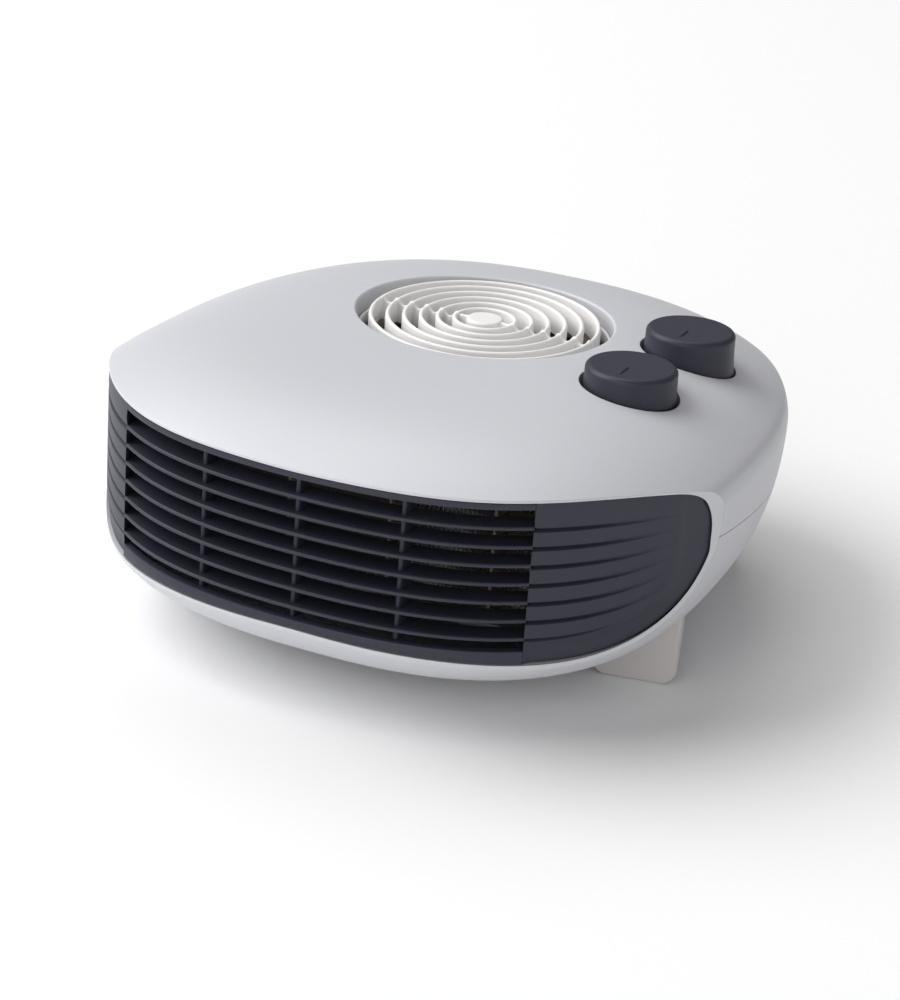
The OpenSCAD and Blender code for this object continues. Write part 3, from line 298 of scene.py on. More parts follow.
def join(patches):
    """Patches as one: places, normals and a list of faces, or None for the normals. One row of
    normals serves all rows of its patch."""
    places, normals, faces, start = [], [], [], 0
    for place, normal, face in patches:
        places.append(np.asarray(place, float).reshape(-1, 3))
        if normal is not None:
            normals.append(np.broadcast_to(normal, np.shape(place)).reshape(-1, 3))
            face = facing(places[-1], normals[-1], face)
        faces += (np.asarray(face) + start).tolist()
        start += len(places[-1])
    return np.vstack(places), np.vstack(normals) if normals else None, faces


def make(name, patches, body, slot, stands_for=(), sharp=32):
    """One object of the patches, which rides on a body and stands for CAD nodes."""
    places, normals, faces = join(patches)
    mesh = bpy.data.meshes.new(name)
    mesh.from_pydata((places * MM).tolist(), [], faces)
    mesh.polygons.foreach_set("use_smooth", np.full(len(mesh.polygons), True))
    if normals is None:
        mesh.set_sharp_from_angle(angle=np.radians(sharp))
    else:
        mesh.update()
        mesh.normals_split_custom_set_from_vertices(normals.tolist())
    made = bpy.data.objects.new(name, mesh)
    bpy.context.scene.collection.objects.link(made)
    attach(made, body)
    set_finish(made, slot)
    if stands_for:
        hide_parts(*stands_for)
    print(f"{name}: {len(mesh.vertices)} points, {len(mesh.polygons)} faces")


print("a grid of 3 by 4 points has", len(grid_faces(3, 4)), "quads")


# %% Turned and swept patches
def turned(count):
    """Angles of a full turn, without its end."""
    return np.arange(count) * 2 * np.pi / count


def lathe(profile, centre, turns=128):
    """Patch of a profile of (radius, height) rows turned round an upright axis."""
    profile = np.asarray(profile, float)
    t = turned(turns)
    x = centre[0] + profile[:, :1] * np.cos(t)
    y = centre[1] + profile[:, :1] * np.sin(t)
    z = np.repeat(profile[:, 1:2], turns, 1)
    return np.stack([x, y, z], -1), None, grid_faces(len(profile), turns, closed=True, flip=True)


def arc(centre, radii, start, stop, steps):
    """Rows along an elliptic arc round a centre, angles in degrees."""
    a = np.radians(np.linspace(start, stop, steps))
    return np.stack([centre[0] + radii[0] * np.cos(a), centre[1] + radii[1] * np.sin(a)], 1)


def sweep(xs, depth, z, flip=False):
    """Patch of a profile of depths behind the front sheet and heights, swept along xs."""
    x = np.repeat(np.asarray(xs)[None, :], len(depth), 0)
    y = sheet(x) + np.asarray(depth)[:, None]
    height = np.broadcast_to(np.asarray(z, float).reshape(len(depth), -1), x.shape)
    return np.stack([x, y, height], -1), None, grid_faces(*x.shape, flip=flip)


def solid_block(low, high):
    """Patch of a box: the corners are low plus zeros and ones times its size."""
    square = [[0, 0], [1, 0], [1, 1], [0, 1]]
    corner = np.array([[x, y, z] for z in (0, 1) for x, y in square])
    faces = [[0, 3, 2, 1], [4, 5, 6, 7], [0, 1, 5, 4], [1, 2, 6, 5], [2, 3, 7, 6], [3, 0, 4, 7]]
    return np.array(low) + corner * (np.array(high) - low), None, np.array(faces)


print("a turned line has places in rows of", lathe([(1, 0), (1, 1)], (0, 0))[0].shape[1])


# %% Normals and rounded edges
def unit(n):
    """Vectors divided by their length."""
    return n / np.linalg.norm(n, axis=-1, keepdims=True)


def slope_normals(height, x, y, step=0.04):
    """Unit normals of a height field, from differences to either side."""
    dx = (height(x + step, y) - height(x - step, y)) / (2 * step)
    dy = (height(x, y + step) - height(x, y - step)) / (2 * step)
    return unit(np.stack([-dx, -dy, np.ones_like(dx)], -1))


def wall_normals(x, y, z, step=0.04):
    """Unit normals of the wall: the gradient of its level."""
    return unit(np.stack([wall_level(x + step, y, z) - wall_level(x - step, y, z),
                          wall_level(x, y + step, z) - wall_level(x, y - step, z),
                          wall_level(x, y, z + step) - wall_level(x, y, z - step)], -1))


def quarter(distance, radius):
    """Drop of a rounded edge at a distance from it: the radius less the height of its circle."""
    inside = np.clip(radius - distance, 0, radius)
    return radius - np.sqrt(np.maximum(radius ** 2 - inside ** 2, 0))


print("an edge of radius 1 drops", np.round(quarter(np.array([0, 0.5, 1]), 1.0), 2))

# %% Fields with holes
OFF_AXIS = (0.31, 0.17)


def filled(outline, holes, spacing, keep, rings):
    """Triangles over a region in plan: its outline, loops at the holes with rings round them,
    and a loose grid elsewhere, joined by a constrained triangulation. The grid stands a little
    off the axes, so that none of its points falls on a loop."""
    points, edges, count = [], [], 0
    for loop in [outline] + [ring for hole in rings for ring in hole]:
        turn = np.arange(len(loop))
        edges.append(count + np.stack([turn, (turn + 1) % len(loop)], 1))
        points.append(loop)
        count += len(loop)
    gx, gy = np.meshgrid(*(np.arange(low, high, spacing)
                           for low, high in zip(outline.min(0), outline.max(0))))
    grid = np.stack([gx.ravel(), gy.ravel()], 1) + OFF_AXIS
    points.append(grid[keep(*grid.T)])
    flat, _, faces, *_ = delaunay_2d_cdt(np.vstack(points).tolist(), np.vstack(edges).tolist(),
                                         [], 1, 1e-5)
    flat, faces = np.array(flat), np.array(faces)
    middle = flat[faces].mean(1)
    inside = np.any([hole(*middle.T) for hole in holes], 0)
    print("field of", len(flat), "points with", len(holes), "holes")
    return flat[:, 0], flat[:, 1], faces[~inside]

# %% [markdown]
# ## Covers
# The top and bottom covers are injection moulded, with an inlet, wells for the knobs, and a seat
# for the outlet grille. Booleans could cut those out of a solid, but they leave slivers, and
# smooth shading shows dents round each hole. So each cover is a field of triangles in plan round
# its holes, a band out to the front sheet or to the crease, and the wall. Lips at holes and at
# the front sheet are rounded by lowering the surface along a quarter circle.

# %% Sizes of the covers
FAN_Y, INLET_R, LEDGE_Z = 18.4, 50.1, 92.5
THROAT_R, THROAT_H = INLET_R - 1.5, 1.5
KNOBS = {"power": (75.0, -19.0), "thermostat": (79.0, 33.0)}
WELL_R, WELL_Z, SPINDLE_R = 18.7, 90.0, 3.5
LIP_INLET, LIP_WELL, LIP_FRONT, LIP_LEAST = 1.1, 0.4, 0.55, 0.02
SEAM, RIM, SEAT_D = 0.15, 0.8, 3.9
CORE_K, CORE_GAP, EVEN = 0.9, 0.035, 1e-6
TOP_HOLES = [(0.0, FAN_Y, INLET_R, LIP_INLET)] + [(*p, WELL_R, LIP_WELL) for p in KNOBS.values()]
ANGLES = np.unique(np.concatenate([np.linspace(-np.pi, np.pi, 541)[:-1]] + [
    s * np.append(np.linspace(T_CREASE, T_END, 9), T_SPLIT) for s in (-1, 1)]))
NEAR = np.array([0, 0.03, 0.08, 0.16, 0.26, 0.38, 0.55, 0.75, 1.1, 1.7, 2.5])[:, None]


def angles_behind(start):
    """Angles of the outline from start, round the back, to start on the other side."""
    left = ANGLES[ANGLES <= -start + TINY] + 2 * np.pi
    return np.concatenate([ANGLES[ANGLES >= start - TINY], left])


BEHIND, BEHIND_SPLIT = angles_behind(T_END), angles_behind(T_SPLIT)
print("outline in", len(ANGLES), "angles,", len(BEHIND), "of them behind the outlet")


# %% Lips and crease
def lip_at(x):
    """Rounding of the front lip, which fades out before the ends of the outlet."""
    return LIP_FRONT * (1 - smooth(96, 112, np.abs(x))) + LIP_LEAST


def crown_lipped(x, y):
    """Crown height less the rounding at the holes and at the front sheet."""
    z = crown_height(x, y) - quarter(y - sheet(x), lip_at(x))
    for cx, cy, radius, lip in TOP_HOLES:
        z = z - quarter(np.hypot(x - cx, y - cy) - radius, lip)
    return z


def soft_crease(x, y, z, crown_n, wall_n, width=3.0):
    """Normals that turn from the crown's to the wall's within width of the crease."""
    inside = (plan_share(x, y) / CREASE_K - 1) * HALF_W
    w = smooth(-width, width, np.where(z >= CREASE_Z - EVEN, inside, CREASE_Z - z))[..., None]
    return unit(crown_n * (1 - w) + wall_n * w)


print("front lip in the middle and near the ends", lip_at(np.array([0, 115])))


# %% Bands and loops
def band(out, core, angles=ANGLES):
    """Shares from the outer edge of a cover's band to its core, close together at the edge."""
    width = (out - core) * plan_radius(angles)
    near = out - NEAR / plan_radius(angles) * np.minimum(1, width / 4)
    return np.vstack([near, near[-1] + (core - near[-1]) * np.linspace(0, 1, 9)[1:, None]])


def loop_round(cx, cy, radius, turns):
    """Points of a circle in plan."""
    t = turned(turns)
    return np.stack([cx + radius * np.cos(t), cy + radius * np.sin(t)], 1)


def hole_rings(cx, cy, radius, lip):
    """Loops round a hole: close together on its rounded lip, then wider."""
    turns = 200 if radius > 30 else 112
    rounds = lip * (1 - np.cos(np.radians([0, 10, 22, 36, 52, 70, 90])))
    outs = [*rounds, lip + 0.7, lip + 2.2, lip + 4.4]
    return [loop_round(cx, cy, radius + out, turns) for out in outs]


def within(cx, cy, radius):
    """Test of whether a place is nearer to a centre than a radius."""
    return lambda x, y: np.hypot(x - cx, y - cy) < radius


def inner_test(core, gap, holes):
    """Test of whether a place is inside the core by a gap, and outside all holes."""
    def keep(x, y):
        inside = plan_share(x, y) < np.interp(np.arctan2(x, PLAN_Y - y), ANGLES, core) - gap
        return inside & np.all([np.hypot(x - cx, y - cy) > r for cx, cy, r in holes], 0)
    return keep


print("a band has", len(band(1.0, CORE_K)), "rows")


# %% Walls and bores
def wall_patch(t, upper, lower, rows=22):
    """Wall between two heights at each angle."""
    z = upper + (lower - upper) * np.linspace(0, 1, rows)[:, None]
    x, y = plan_place(t, wall_share(z, t))
    n = soft_crease(x, y, z, slope_normals(crown_height, x, y), wall_normals(x, y, z))
    return np.stack([x, y, z], -1), n, grid_faces(rows, len(t))


def bore(cx, cy, radius, edge, floor, inner, rows=6, turns=200, up=1):
    """Wall of an upright hole, from the edge's height all round to its floor, and the floor in
    to a smaller radius."""
    t = np.append(turned(turns), 0)
    x, y = cx + radius * np.cos(t), cy + radius * np.sin(t)
    z = edge(x, y) + (floor - edge(x, y)) * np.linspace(0, 1, rows)[:, None]
    r = np.array([[radius], [inner]])
    bottom = np.stack([cx + r * np.cos(t), cy + r * np.sin(t), floor + 0 * r * t], -1)
    inward = np.stack([-np.cos(t), -np.sin(t), 0 * t], -1)
    return [(np.stack([x + 0 * z, y + 0 * z, z], -1), inward, grid_faces(rows, turns + 1)),
            (bottom, (0, 0, up), grid_faces(2, turns + 1))]


print("the belt's bulge is", round(float(1 - belt_share(CREASE_Z)) * HALF_W, 2), "at the side")


# %% Rim round the grille
def rim_half(upper):
    """Outer and inner edge, as rows of x and z, of the strip that a cover shows beside one half
    of the grille. The upper strip goes on round the end to where the parting line comes in."""
    turn = np.sin(np.radians(np.linspace(0, 90, 40)))
    f = np.concatenate([np.linspace(0, 0.65, 31)[:-1], 0.65 + 0.35 * turn])
    xi = f * opening_end(RIM)
    corner = np.array([[opening_end(RIM), CORNER_Z]])
    if upper:
        xo, down = f * X_END, np.linspace(X_END, X_SPLIT, 7)[1:]
        outer = np.vstack([np.column_stack([xo, form_top(xo) - lip_at(xo) + LIP_LEAST]),
                           np.column_stack([down, edge_bottom(down)])])
        inner = np.vstack([np.column_stack([xi, edge_top(xi, RIM)]), np.repeat(corner, 6, 0)])
    else:
        xo = f * X_SPLIT
        outer = np.vstack([np.column_stack([xo, edge_bottom(xo) + lip_at(xo) - LIP_LEAST]),
                           [[X_SPLIT, edge_bottom(X_SPLIT)]]])
        inner = np.vstack([np.column_stack([xi, edge_bottom(xi, RIM)]), corner])
    return outer, inner


def in_sheet(edge, side, back=0.0):
    """Places of rows of x and z on one side of the middle, in the front sheet or behind it."""
    return np.stack([side * edge[:, 0], sheet(edge[:, 0]) + back, edge[:, 1]], -1)


def rim(upper):
    """Edge of a cover round the grille: the strip in the front sheet, whose normals are the
    sheet's, and the wall of the seat, whose normals are across its edge."""
    patches = []
    outer, inner = rim_half(upper)
    along = np.gradient(inner, axis=0)
    across = np.stack([-along[:, 1], along[:, 0]], 1) * (-1 if upper else 1)
    across = unit(np.where(np.hypot(*across.T)[:, None] > EVEN, across, [-1.0, 0.0]))
    lean = sheet_slope(outer[:, 0])
    faces = grid_faces(2, len(outer))
    for s in (1, -1):
        front, lip, deep = in_sheet(outer, s), in_sheet(inner, s), in_sheet(inner, s, SEAT_D)
        ahead = np.stack([s * lean, -1 + 0 * lean, 0 * lean], -1) / np.hypot(lean, 1)[:, None]
        side = np.stack([s * across[:, 0], 0 * lean, across[:, 1]], -1)
        patches += [(np.stack([front, lip]), ahead, faces), (np.stack([lip, deep]), side, faces)]
    return patches


print("strip above half the grille has", len(rim_half(True)[0]), "steps")


# %% Seam along the parting line
def seam_edge(above, depth=0.9, tongue=2):
    """Edge of a cover along the parting line: a step in by depth, and for the lower cover the
    tongue behind the gap."""
    t = BEHIND_SPLIT
    split = split_height(t)
    z = split + (SEAM if above else -SEAM)
    x, y = plan_place(t, np.stack([wall_share(z, t), wall_share(z, t) - depth / plan_radius(t)]))
    faces = grid_faces(2, len(t))
    patches = [(np.stack([x, y, np.stack([z, z])], -1), (0, 0, -1 if above else 1), faces)]
    if not above:
        wall = [np.stack([x[1], y[1], height], -1) for height in (z, split + tongue)]
        out = unit(np.stack([x[1], y[1] - PLAN_Y, 0 * z], -1))
        patches.append((np.stack(wall), out, faces))
    return patches


print("parting line in front and behind", np.round(split_height(np.array([T_SPLIT, np.pi])), 1))


# %% Top cover
def crown_patches():
    """The crown: a band from the crease or the front sheet in to the core, and the field of
    triangles within it."""
    out = np.minimum(CREASE_K, sheet_share(ANGLES))
    core = np.minimum(CORE_K, out - CORE_GAP)
    x, y = plan_place(ANGLES, band(out, core))
    z, crown_n = crown_lipped(x, y), slope_normals(crown_lipped, x, y)
    soft_n = soft_crease(x, y, z, crown_n, wall_normals(x, y, np.full_like(z, CREASE_Z - 0.1)))
    n = np.where((z >= CREASE_Z - EVEN)[..., None], soft_n, crown_n)
    edge = (np.stack([x, y, z], -1), n, grid_faces(*x.shape, closed=True))
    keep = inner_test(core, 0.02, [(cx, cy, r + lip + 6) for cx, cy, r, lip in TOP_HOLES])
    x, y, faces = filled(np.stack(plan_place(ANGLES, core), 1),
                         [within(*hole[:3]) for hole in TOP_HOLES], 3.0, keep,
                         [hole_rings(*hole) for hole in TOP_HOLES])
    field = np.stack([x, y, crown_lipped(x, y)], -1)
    return [edge, (field, slope_normals(crown_lipped, x, y), faces)]


def top_walls():
    """Walls from the crease down to the parting line, and beside the outlet to its edges."""
    patches = [wall_patch(BEHIND, CREASE_Z + 0 * BEHIND, split_height(BEHIND) + SEAM)]
    for s in (1, -1):
        t = s * np.linspace(T_CREASE, T_END, 12)[::s]
        patches.append(wall_patch(t, CREASE_Z + 0 * t, form_top(sheet_place(t)[0])))
        t = s * np.linspace(T_SPLIT, T_END, 12)[::s]
        patches.append(wall_patch(t, bowl_height(*sheet_place(t)), split_height(t) + SEAM))
    return patches


def top_cover():
    """Crown, walls, rim, seam, the wells with their floors, and the throat below the inlet."""
    patches = crown_patches() + top_walls() + rim(True) + seam_edge(True)
    patches += bore(0.0, FAN_Y, INLET_R, crown_lipped, LEDGE_Z, THROAT_R)
    for x, y in KNOBS.values():
        patches += bore(x, y, WELL_R, crown_lipped, WELL_Z, SPINDLE_R)
    t = np.append(turned(200), 0)
    z = np.array([[LEDGE_Z], [LEDGE_Z - THROAT_H]]) + 0 * t
    throat = np.stack([THROAT_R * np.cos(t) + 0 * z, FAN_Y + THROAT_R * np.sin(t) + 0 * z, z], -1)
    inward = np.stack([-np.cos(t), -np.sin(t), 0 * t], -1)
    return patches + [(throat, inward, grid_faces(*z.shape))]


make("top_shell", top_cover(), "case", "shell_white", ["top_cover"])

# %% [markdown]
# ## Bottom cover
# The bottom cover is the deep bowl that carries the feet. Four bores lead up to the case screws,
# and a round pocket at the back holds the gland. A boolean would cut the pocket, but it runs into
# a surface that curves away, which leaves slivers. So its edge is worked out where a cylinder
# meets the bowl, and the field of triangles ends on it. Normals come from the wall's level,
# because a height field has no slope to measure where the bowl stands upright.

# %% Sizes of the bottom cover
SCREWS = [(s * x, y, z) for s in (-1, 1) for x, y, z in ((95.0, -68.0, 40.0), (60.0, 98.0, 46.0))]
SCREW_R, SHANK_R, HEAD_GAP = 3.4, 1.7, 1
POCKET_R, POCKET_Y, POCKET_Z, GLAND_R = 9.0, 108.0, 30.0, 5.7
BOWL_CORE_K = 0.962
print("case screws at", SCREWS)


# %% Underside and pocket
def bowl_lipped(x, y):
    """Height of the underside, raised by the rounding at the front sheet."""
    return bowl_height(x, y) + quarter(y - sheet(x), lip_at(x))


def under_normals(x, y, z):
    """Normals of the underside: those of the wall, and of the rounding near the front sheet."""
    lipped = -slope_normals(bowl_lipped, x, y)
    w = (1 - smooth(0.3, 0.8, y - sheet(x)))[..., None]
    return unit(wall_normals(x, y, z) * (1 - w) + lipped * w)


def pocket_edge(turns=72):
    """Edge of the round pocket that runs in from the back, where it meets the bowl: at each
    place of its circle, the depth at which the outline's share is the wall's share there."""
    a, n = turned(turns), BLUNT_BACK
    x, z = POCKET_R * np.cos(a), POCKET_Z + POCKET_R * np.sin(a)
    y = PLAN_Y + REACH_BACK * (wall_share(z, 0) ** n - (np.abs(x) / HALF_W) ** n) ** (1 / n)
    return x, y, z, a


def in_pocket(x, y):
    """Test of whether the bowl's surface at a place is inside the pocket's circle."""
    return (np.abs(x) < POCKET_R) & (y > 100) & (
        x ** 2 + (bowl_height(x, y) - POCKET_Z) ** 2 < POCKET_R ** 2)


def recesses():
    """Bores of the case screws up to their heads, and the gland's pocket with its floor."""
    patches = []
    for x, y, head in SCREWS:
        patches += bore(x, y, SCREW_R, bowl_lipped, head + HEAD_GAP, SHANK_R, 4, 48, up=-1)
    x, y, z, a = (np.append(v, v[0]) for v in pocket_edge())
    deep = y + (POCKET_Y - y) * np.linspace(0, 1, 4)[:, None]
    inward = np.stack([-np.cos(a), 0 * a, -np.sin(a)], -1)
    wall = np.stack([x + 0 * deep, deep, z + 0 * deep], -1)
    r = np.array([[POCKET_R], [GLAND_R]])
    floor = np.stack([r * np.cos(a), POCKET_Y + 0 * r * a, POCKET_Z + r * np.sin(a)], -1)
    return patches + [(wall, inward, grid_faces(4, len(a))),
                      (floor, (0, 1, 0), grid_faces(2, len(a)))]


print("pocket's edge from y", np.round([pocket_edge()[1].min(), pocket_edge()[1].max()], 1))


# %% Bottom cover
def bowl_field(core):
    """Triangles of the underside within the core, round the screws' bores and the pocket."""
    px, py, *_ = pocket_edge()
    rings = [[loop_round(cx, cy, SCREW_R + out, 48) for out in (0, 0.6, 2, 4)]
             for cx, cy, _ in SCREWS] + [[np.stack([px, py], 1)]]
    holes = [within(cx, cy, SCREW_R) for cx, cy, _ in SCREWS] + [in_pocket]
    inner = inner_test(core, 0.014, [(cx, cy, SCREW_R + 6) for cx, cy, _ in SCREWS])
    keep = lambda x, y: inner(x, y) & ~((np.abs(x) < POCKET_R + 1.5) & (y > POCKET_Y - 2))
    x, y, faces = filled(np.stack(plan_place(ANGLES, core), 1), holes, 2.8, keep, rings)
    z = bowl_lipped(x, y)
    return np.stack([x, y, z], -1), under_normals(x, y, z), faces


def bottom_cover():
    """The field, a band out to the front sheet, the wall, the rim, the seam and the recesses."""
    core = np.minimum(BOWL_CORE_K, sheet_share(ANGLES) - CORE_GAP)
    front = ANGLES[np.abs(ANGLES) <= T_SPLIT + TINY]
    out = sheet_share(front)
    x, y = plan_place(front, band(out, np.minimum(BOWL_CORE_K, out - CORE_GAP), front))
    z = bowl_lipped(x, y)
    edge = (np.stack([x, y, z], -1), under_normals(x, y, z), grid_faces(*x.shape))
    t = BEHIND_SPLIT
    core_t = np.interp((t + np.pi) % (2 * np.pi) - np.pi, ANGLES, core, period=2 * np.pi)
    wall = wall_patch(t, split_height(t) - SEAM, bowl_height(*plan_place(t, core_t)), 30)
    return [bowl_field(core), edge, wall] + rim(False) + seam_edge(False) + recesses()


make("bottom_shell", bottom_cover(), "case", "shell_white", ["bottom_cover"])

# %% [markdown]
# ## Outlet grille
# The warm air leaves through one dark moulding: a plate in the front sheet, whose slots are
# bridged by louvres with upright bars behind them. The louvres' lines carry on over the solid
# ends as grooves, which draw together and fade, and a sloped border runs round each end. An array
# of slats and a boolean would be quicker, but these grooves follow a curved sheet and change
# their depth along it. So each end is a grid whose depth behind the sheet is a formula, and the
# louvres are profiles swept along the sheet.

# %% Sizes of the outlet grille
SLOT_HALF, PLATE_T, PLATE_I, PLATE_LIP = 79.7, 3.6, 1.1, 0.35
LOUVRE_Z, PITCH, LOUVRES, LOUVRE_T, LOUVRE_D = 81.0, 6.9, 7, 1.5, 11.0
GROOVE, DROP, BORDER = 2.2, 1.9, 7.0
BARS_X, BAR_R, BAR_FRONT, BAR_BACK, CHEEK_T = (-38.4, 0.0, 38.4), 0.9, 3.8, 10, 1.5
WINDOW_LOW = float(edge_bottom(0.0, PLATE_I)) + 3.0
WINDOW_HIGH = float(edge_top(0.0, PLATE_I)) - 2.2
PLATE_END = opening_end(PLATE_I)
LOW = float(edge_bottom(SLOT_HALF, PLATE_I))
HIGH = float(edge_top(SLOT_HALF, PLATE_I)) - LOW
print("slots from", round(WINDOW_LOW, 2), "to", round(WINDOW_HIGH, 2))


# %% Solid ends
def end_relief():
    """Rows up the solid end: share of its height, and share of the groove's depth. Down from its
    upper edge the groove keeps its depth, then rises to the face, which rounds off above it."""
    below = np.array([0.985, 0.96, 0.93, 0.88, 0.8, 0.7, 0.58, 0.46, 0.36, 0.28, 0.21, 0.18,
                      0.15, 0.12, 0.09, 0.06, 0.012])
    slope = 1 - smooth(0.07, 0.21, below) + 0.25 * np.maximum(0, (below - 0.9) / 0.1) ** 2
    v = (LOUVRE_Z - np.arange(LOUVRES)[::-1] * PITCH - LOW) / HIGH
    plain = (0.0, 0.04, 0.08, 0.12, 0.16, 0.2, 0.24, 0.27, 0.3)
    rows = [(share * v[0], 0.0) for share in plain]
    for edge in v:
        rows += [(place, s) for place, s in zip(edge - below * PITCH / HIGH, slope)
                 if place > plain[-1] * v[0]]
        rows += [(edge, 1.0), (edge + 0.003, 0.3)]
    rows += [(v[-1] + 0.35 * (1 - v[-1]), 0.0), (1.0, 0.0)]
    return np.array(sorted(rows))


def border_share(x, z, low, high, u):
    """Distance to the end's outline as a share of the border's width: a soft minimum of the
    distances to three edges, which is the sum of their powers -3, to the power -1/3. The upper
    edge counts only near the tip."""
    gaps = [PLATE_END - x + 0 * z, (z - low) * 0.8, high - z + 60 * (1 - smooth(0.5, 0.95, u))]
    return np.sum([np.maximum(gap, 0.01) ** -3.0 for gap in gaps], 0) ** (-1 / 3) / BORDER


def end_plate(side):
    """Solid end as a grid: depth is the groove's share, fading outwards, plus the border's
    drop: half of it as a soft step at the border's inner edge, half as a ramp over its width."""
    tip = np.append(0, np.sin(np.radians(np.linspace(0, 90, 90))))
    x = SLOT_HALF + (PLATE_END - SLOT_HALF) * tip
    rows = end_relief()
    low, high = edge_bottom(x, PLATE_I), edge_top(x, PLATE_I)
    z = low + rows[:, :1] * (high - low)
    u = (x - SLOT_HALF) / (PLATE_END - SLOT_HALF)
    edge = border_share(x, z, low, high, u)
    groove = GROOVE * rows[:, 1:] * (1 - smooth(0.25, 0.9, u)) * smooth(0.9, 1.15, edge)
    ramp = np.maximum(0, 1 - edge)
    depth = groove + DROP * (0.5 * ramp + 0.5 * smooth(0, 0.32, ramp)) * smooth(-0.02, 0.05, u)
    depth += quarter(np.minimum(high - z, z - low), PLATE_LIP)
    depth[:, 0] = PLATE_T
    places = np.stack([side * x + 0 * z, sheet(x) + depth, z], -1)
    back = [row + [0, PLATE_T, 0] for row in (places[0], places[-1])]
    places = np.concatenate([back[0][None], places, back[1][None]])
    return places, None, grid_faces(*places.shape[:2], flip=side < 0)


print("a solid end has", len(end_relief()), "rows")


# %% Plate, louvres and bars
def middle_plate():
    """Strips above and below the slots, with rounded edges towards them."""
    xs = np.linspace(-SLOT_HALF, SLOT_HALF, 81)
    top, bottom = edge_top(xs, PLATE_I), edge_bottom(xs, PLATE_I)
    upper = [WINDOW_HIGH + rise + 0 * xs for rise in (0, 0, 0.15, 0.5)]
    lower = [WINDOW_LOW - fall + 0 * xs for fall in (0.5, 0.15, 0, 0)]
    upper += [top - PLATE_LIP, top - 0.1, top, top]
    lower = [bottom, bottom, bottom + 0.1, bottom + PLATE_LIP] + lower
    depth = [PLATE_T, 0.5, 0.15, 0.0, 0.0, 0.1, PLATE_LIP, PLATE_T]
    return [sweep(xs, depth, np.array(upper)), sweep(xs, depth[::-1], np.array(lower))]


def louvre(z):
    """Blade with a round front edge that thins a little towards the back."""
    round_r, thinner, into = LOUVRE_T / 2, 0.2, 0.1
    front = arc((round_r, 0), (round_r, round_r), 90, 270, 13)
    profile = np.vstack([[LOUVRE_D, round_r - thinner], front, [LOUVRE_D, thinner - round_r]])
    profile = np.vstack([profile, profile[:1]])
    xs = np.linspace(-SLOT_HALF - into, SLOT_HALF + into, 81)
    return sweep(xs, profile[:, 0], z + profile[:, 1:], flip=True)


def upright_bar(x):
    """Bar behind the louvre edges, round in front."""
    front = arc((x, sheet(x) + BAR_FRONT), (BAR_R, BAR_R), 180, 360, 11)
    back = sheet(x) + BAR_BACK
    ring = np.vstack([front, [[x + BAR_R, back], [x - BAR_R, back]]])
    z = np.array([[WINDOW_LOW - 1], [WINDOW_HIGH + 1]])
    places = np.stack([ring[:, 0] + 0 * z, ring[:, 1] + 0 * z, 0 * ring[:, 0] + z], -1)
    return places, None, grid_faces(2, len(ring), closed=True)


print("a louvre has", len(louvre(LOUVRE_Z)[0]), "points round and", LOUVRES, "stand in the slots")


# %% Outlet grille
def outlet_grille():
    """Ends, plate, louvres and bars, and a cheek that closes the slots at either end."""
    patches = [end_plate(1), end_plate(-1)] + middle_plate()
    patches += [louvre(LOUVRE_Z - g * PITCH) for g in range(LOUVRES)]
    patches += [upright_bar(x) for x in BARS_X]
    y = sheet(SLOT_HALF)
    for x in (-SLOT_HALF - CHEEK_T, SLOT_HALF):
        patches.append(solid_block((x, y + 3, WINDOW_LOW - 1),
                                   (x + CHEEK_T, y + LOUVRE_D, WINDOW_HIGH + 1)))
    return patches


make("outlet_grille", outlet_grille(), "case", "grille_slate", ["front_grille"])

# %% [markdown]
# ## Inlet grille
# Six tall rings and a disc stand on a rib that is scalloped between them, inside a hoop that
# sits in the crown. A torus is the quick way to a ring, but these have flat sides and a round
# top. So each one is a profile turned round the middle. Between two rings the rib's top dips by
# half a sine wave, raised to a power so that a sharp cusp stands on each ring.

# %% Sizes of the inlet grille
RING_R, RINGS, RING_PITCH, RING_T, RING_ROUND, RING_TOP = 45.2, 6, 6.5, 1.8, 0.85, 101.4
OUTER_RING = RING_R - RING_T / 2
DISC_R, DISC_ROUND, DISC_HOLLOW, AXIS_R = 7.2, 1, 0.1, 0.01
HOOP_R, HOOP_H, HOOP_T = 49.8, 3.5, 1.4
HOOP_MIDDLE = HOOP_R - HOOP_T / 2
RIB_T, RIB_SAG, RIB_CUSP, RIB_POWER, RIB_LOW = 2.0, 2.2, 0.25, 0.75, 3.0
SEAT_GAP, LIFT, SLANT = 0.5, 0.5, 0.012
MIDDLE = (0.0, FAN_Y)
print("gap between rings", round(RING_PITCH - RING_T, 2))


# %% Rings and disc
def ring(radius, low, high, thick, rounding):
    """Ring with a round top: profile up the outside, over, and down the inside."""
    outer, inner = radius + thick / 2, radius - thick / 2
    over = np.vstack([arc((outer - rounding, high - rounding), (rounding, rounding), 0, 90, 7),
                      arc((inner + rounding, high - rounding), (rounding, rounding), 90, 180, 7)])
    return lathe(np.vstack([[outer, low], over, [inner, low], [outer, low]]), MIDDLE, 160)


def disc():
    """Disc in the middle: a profile with a rounded edge and a slightly hollow top."""
    low, rounding = LEDGE_Z + SEAT_GAP, (DISC_ROUND, DISC_ROUND)
    over = arc((DISC_R - DISC_ROUND, RING_TOP - DISC_ROUND), rounding, 0, 90, 7)
    return lathe(np.vstack([[AXIS_R, low], [DISC_R, low], over,
                            [DISC_R - 3, RING_TOP - DISC_HOLLOW / 2],
                            [AXIS_R, RING_TOP - DISC_HOLLOW]]), MIDDLE)


print("the disc is", 2 * DISC_R, "across")


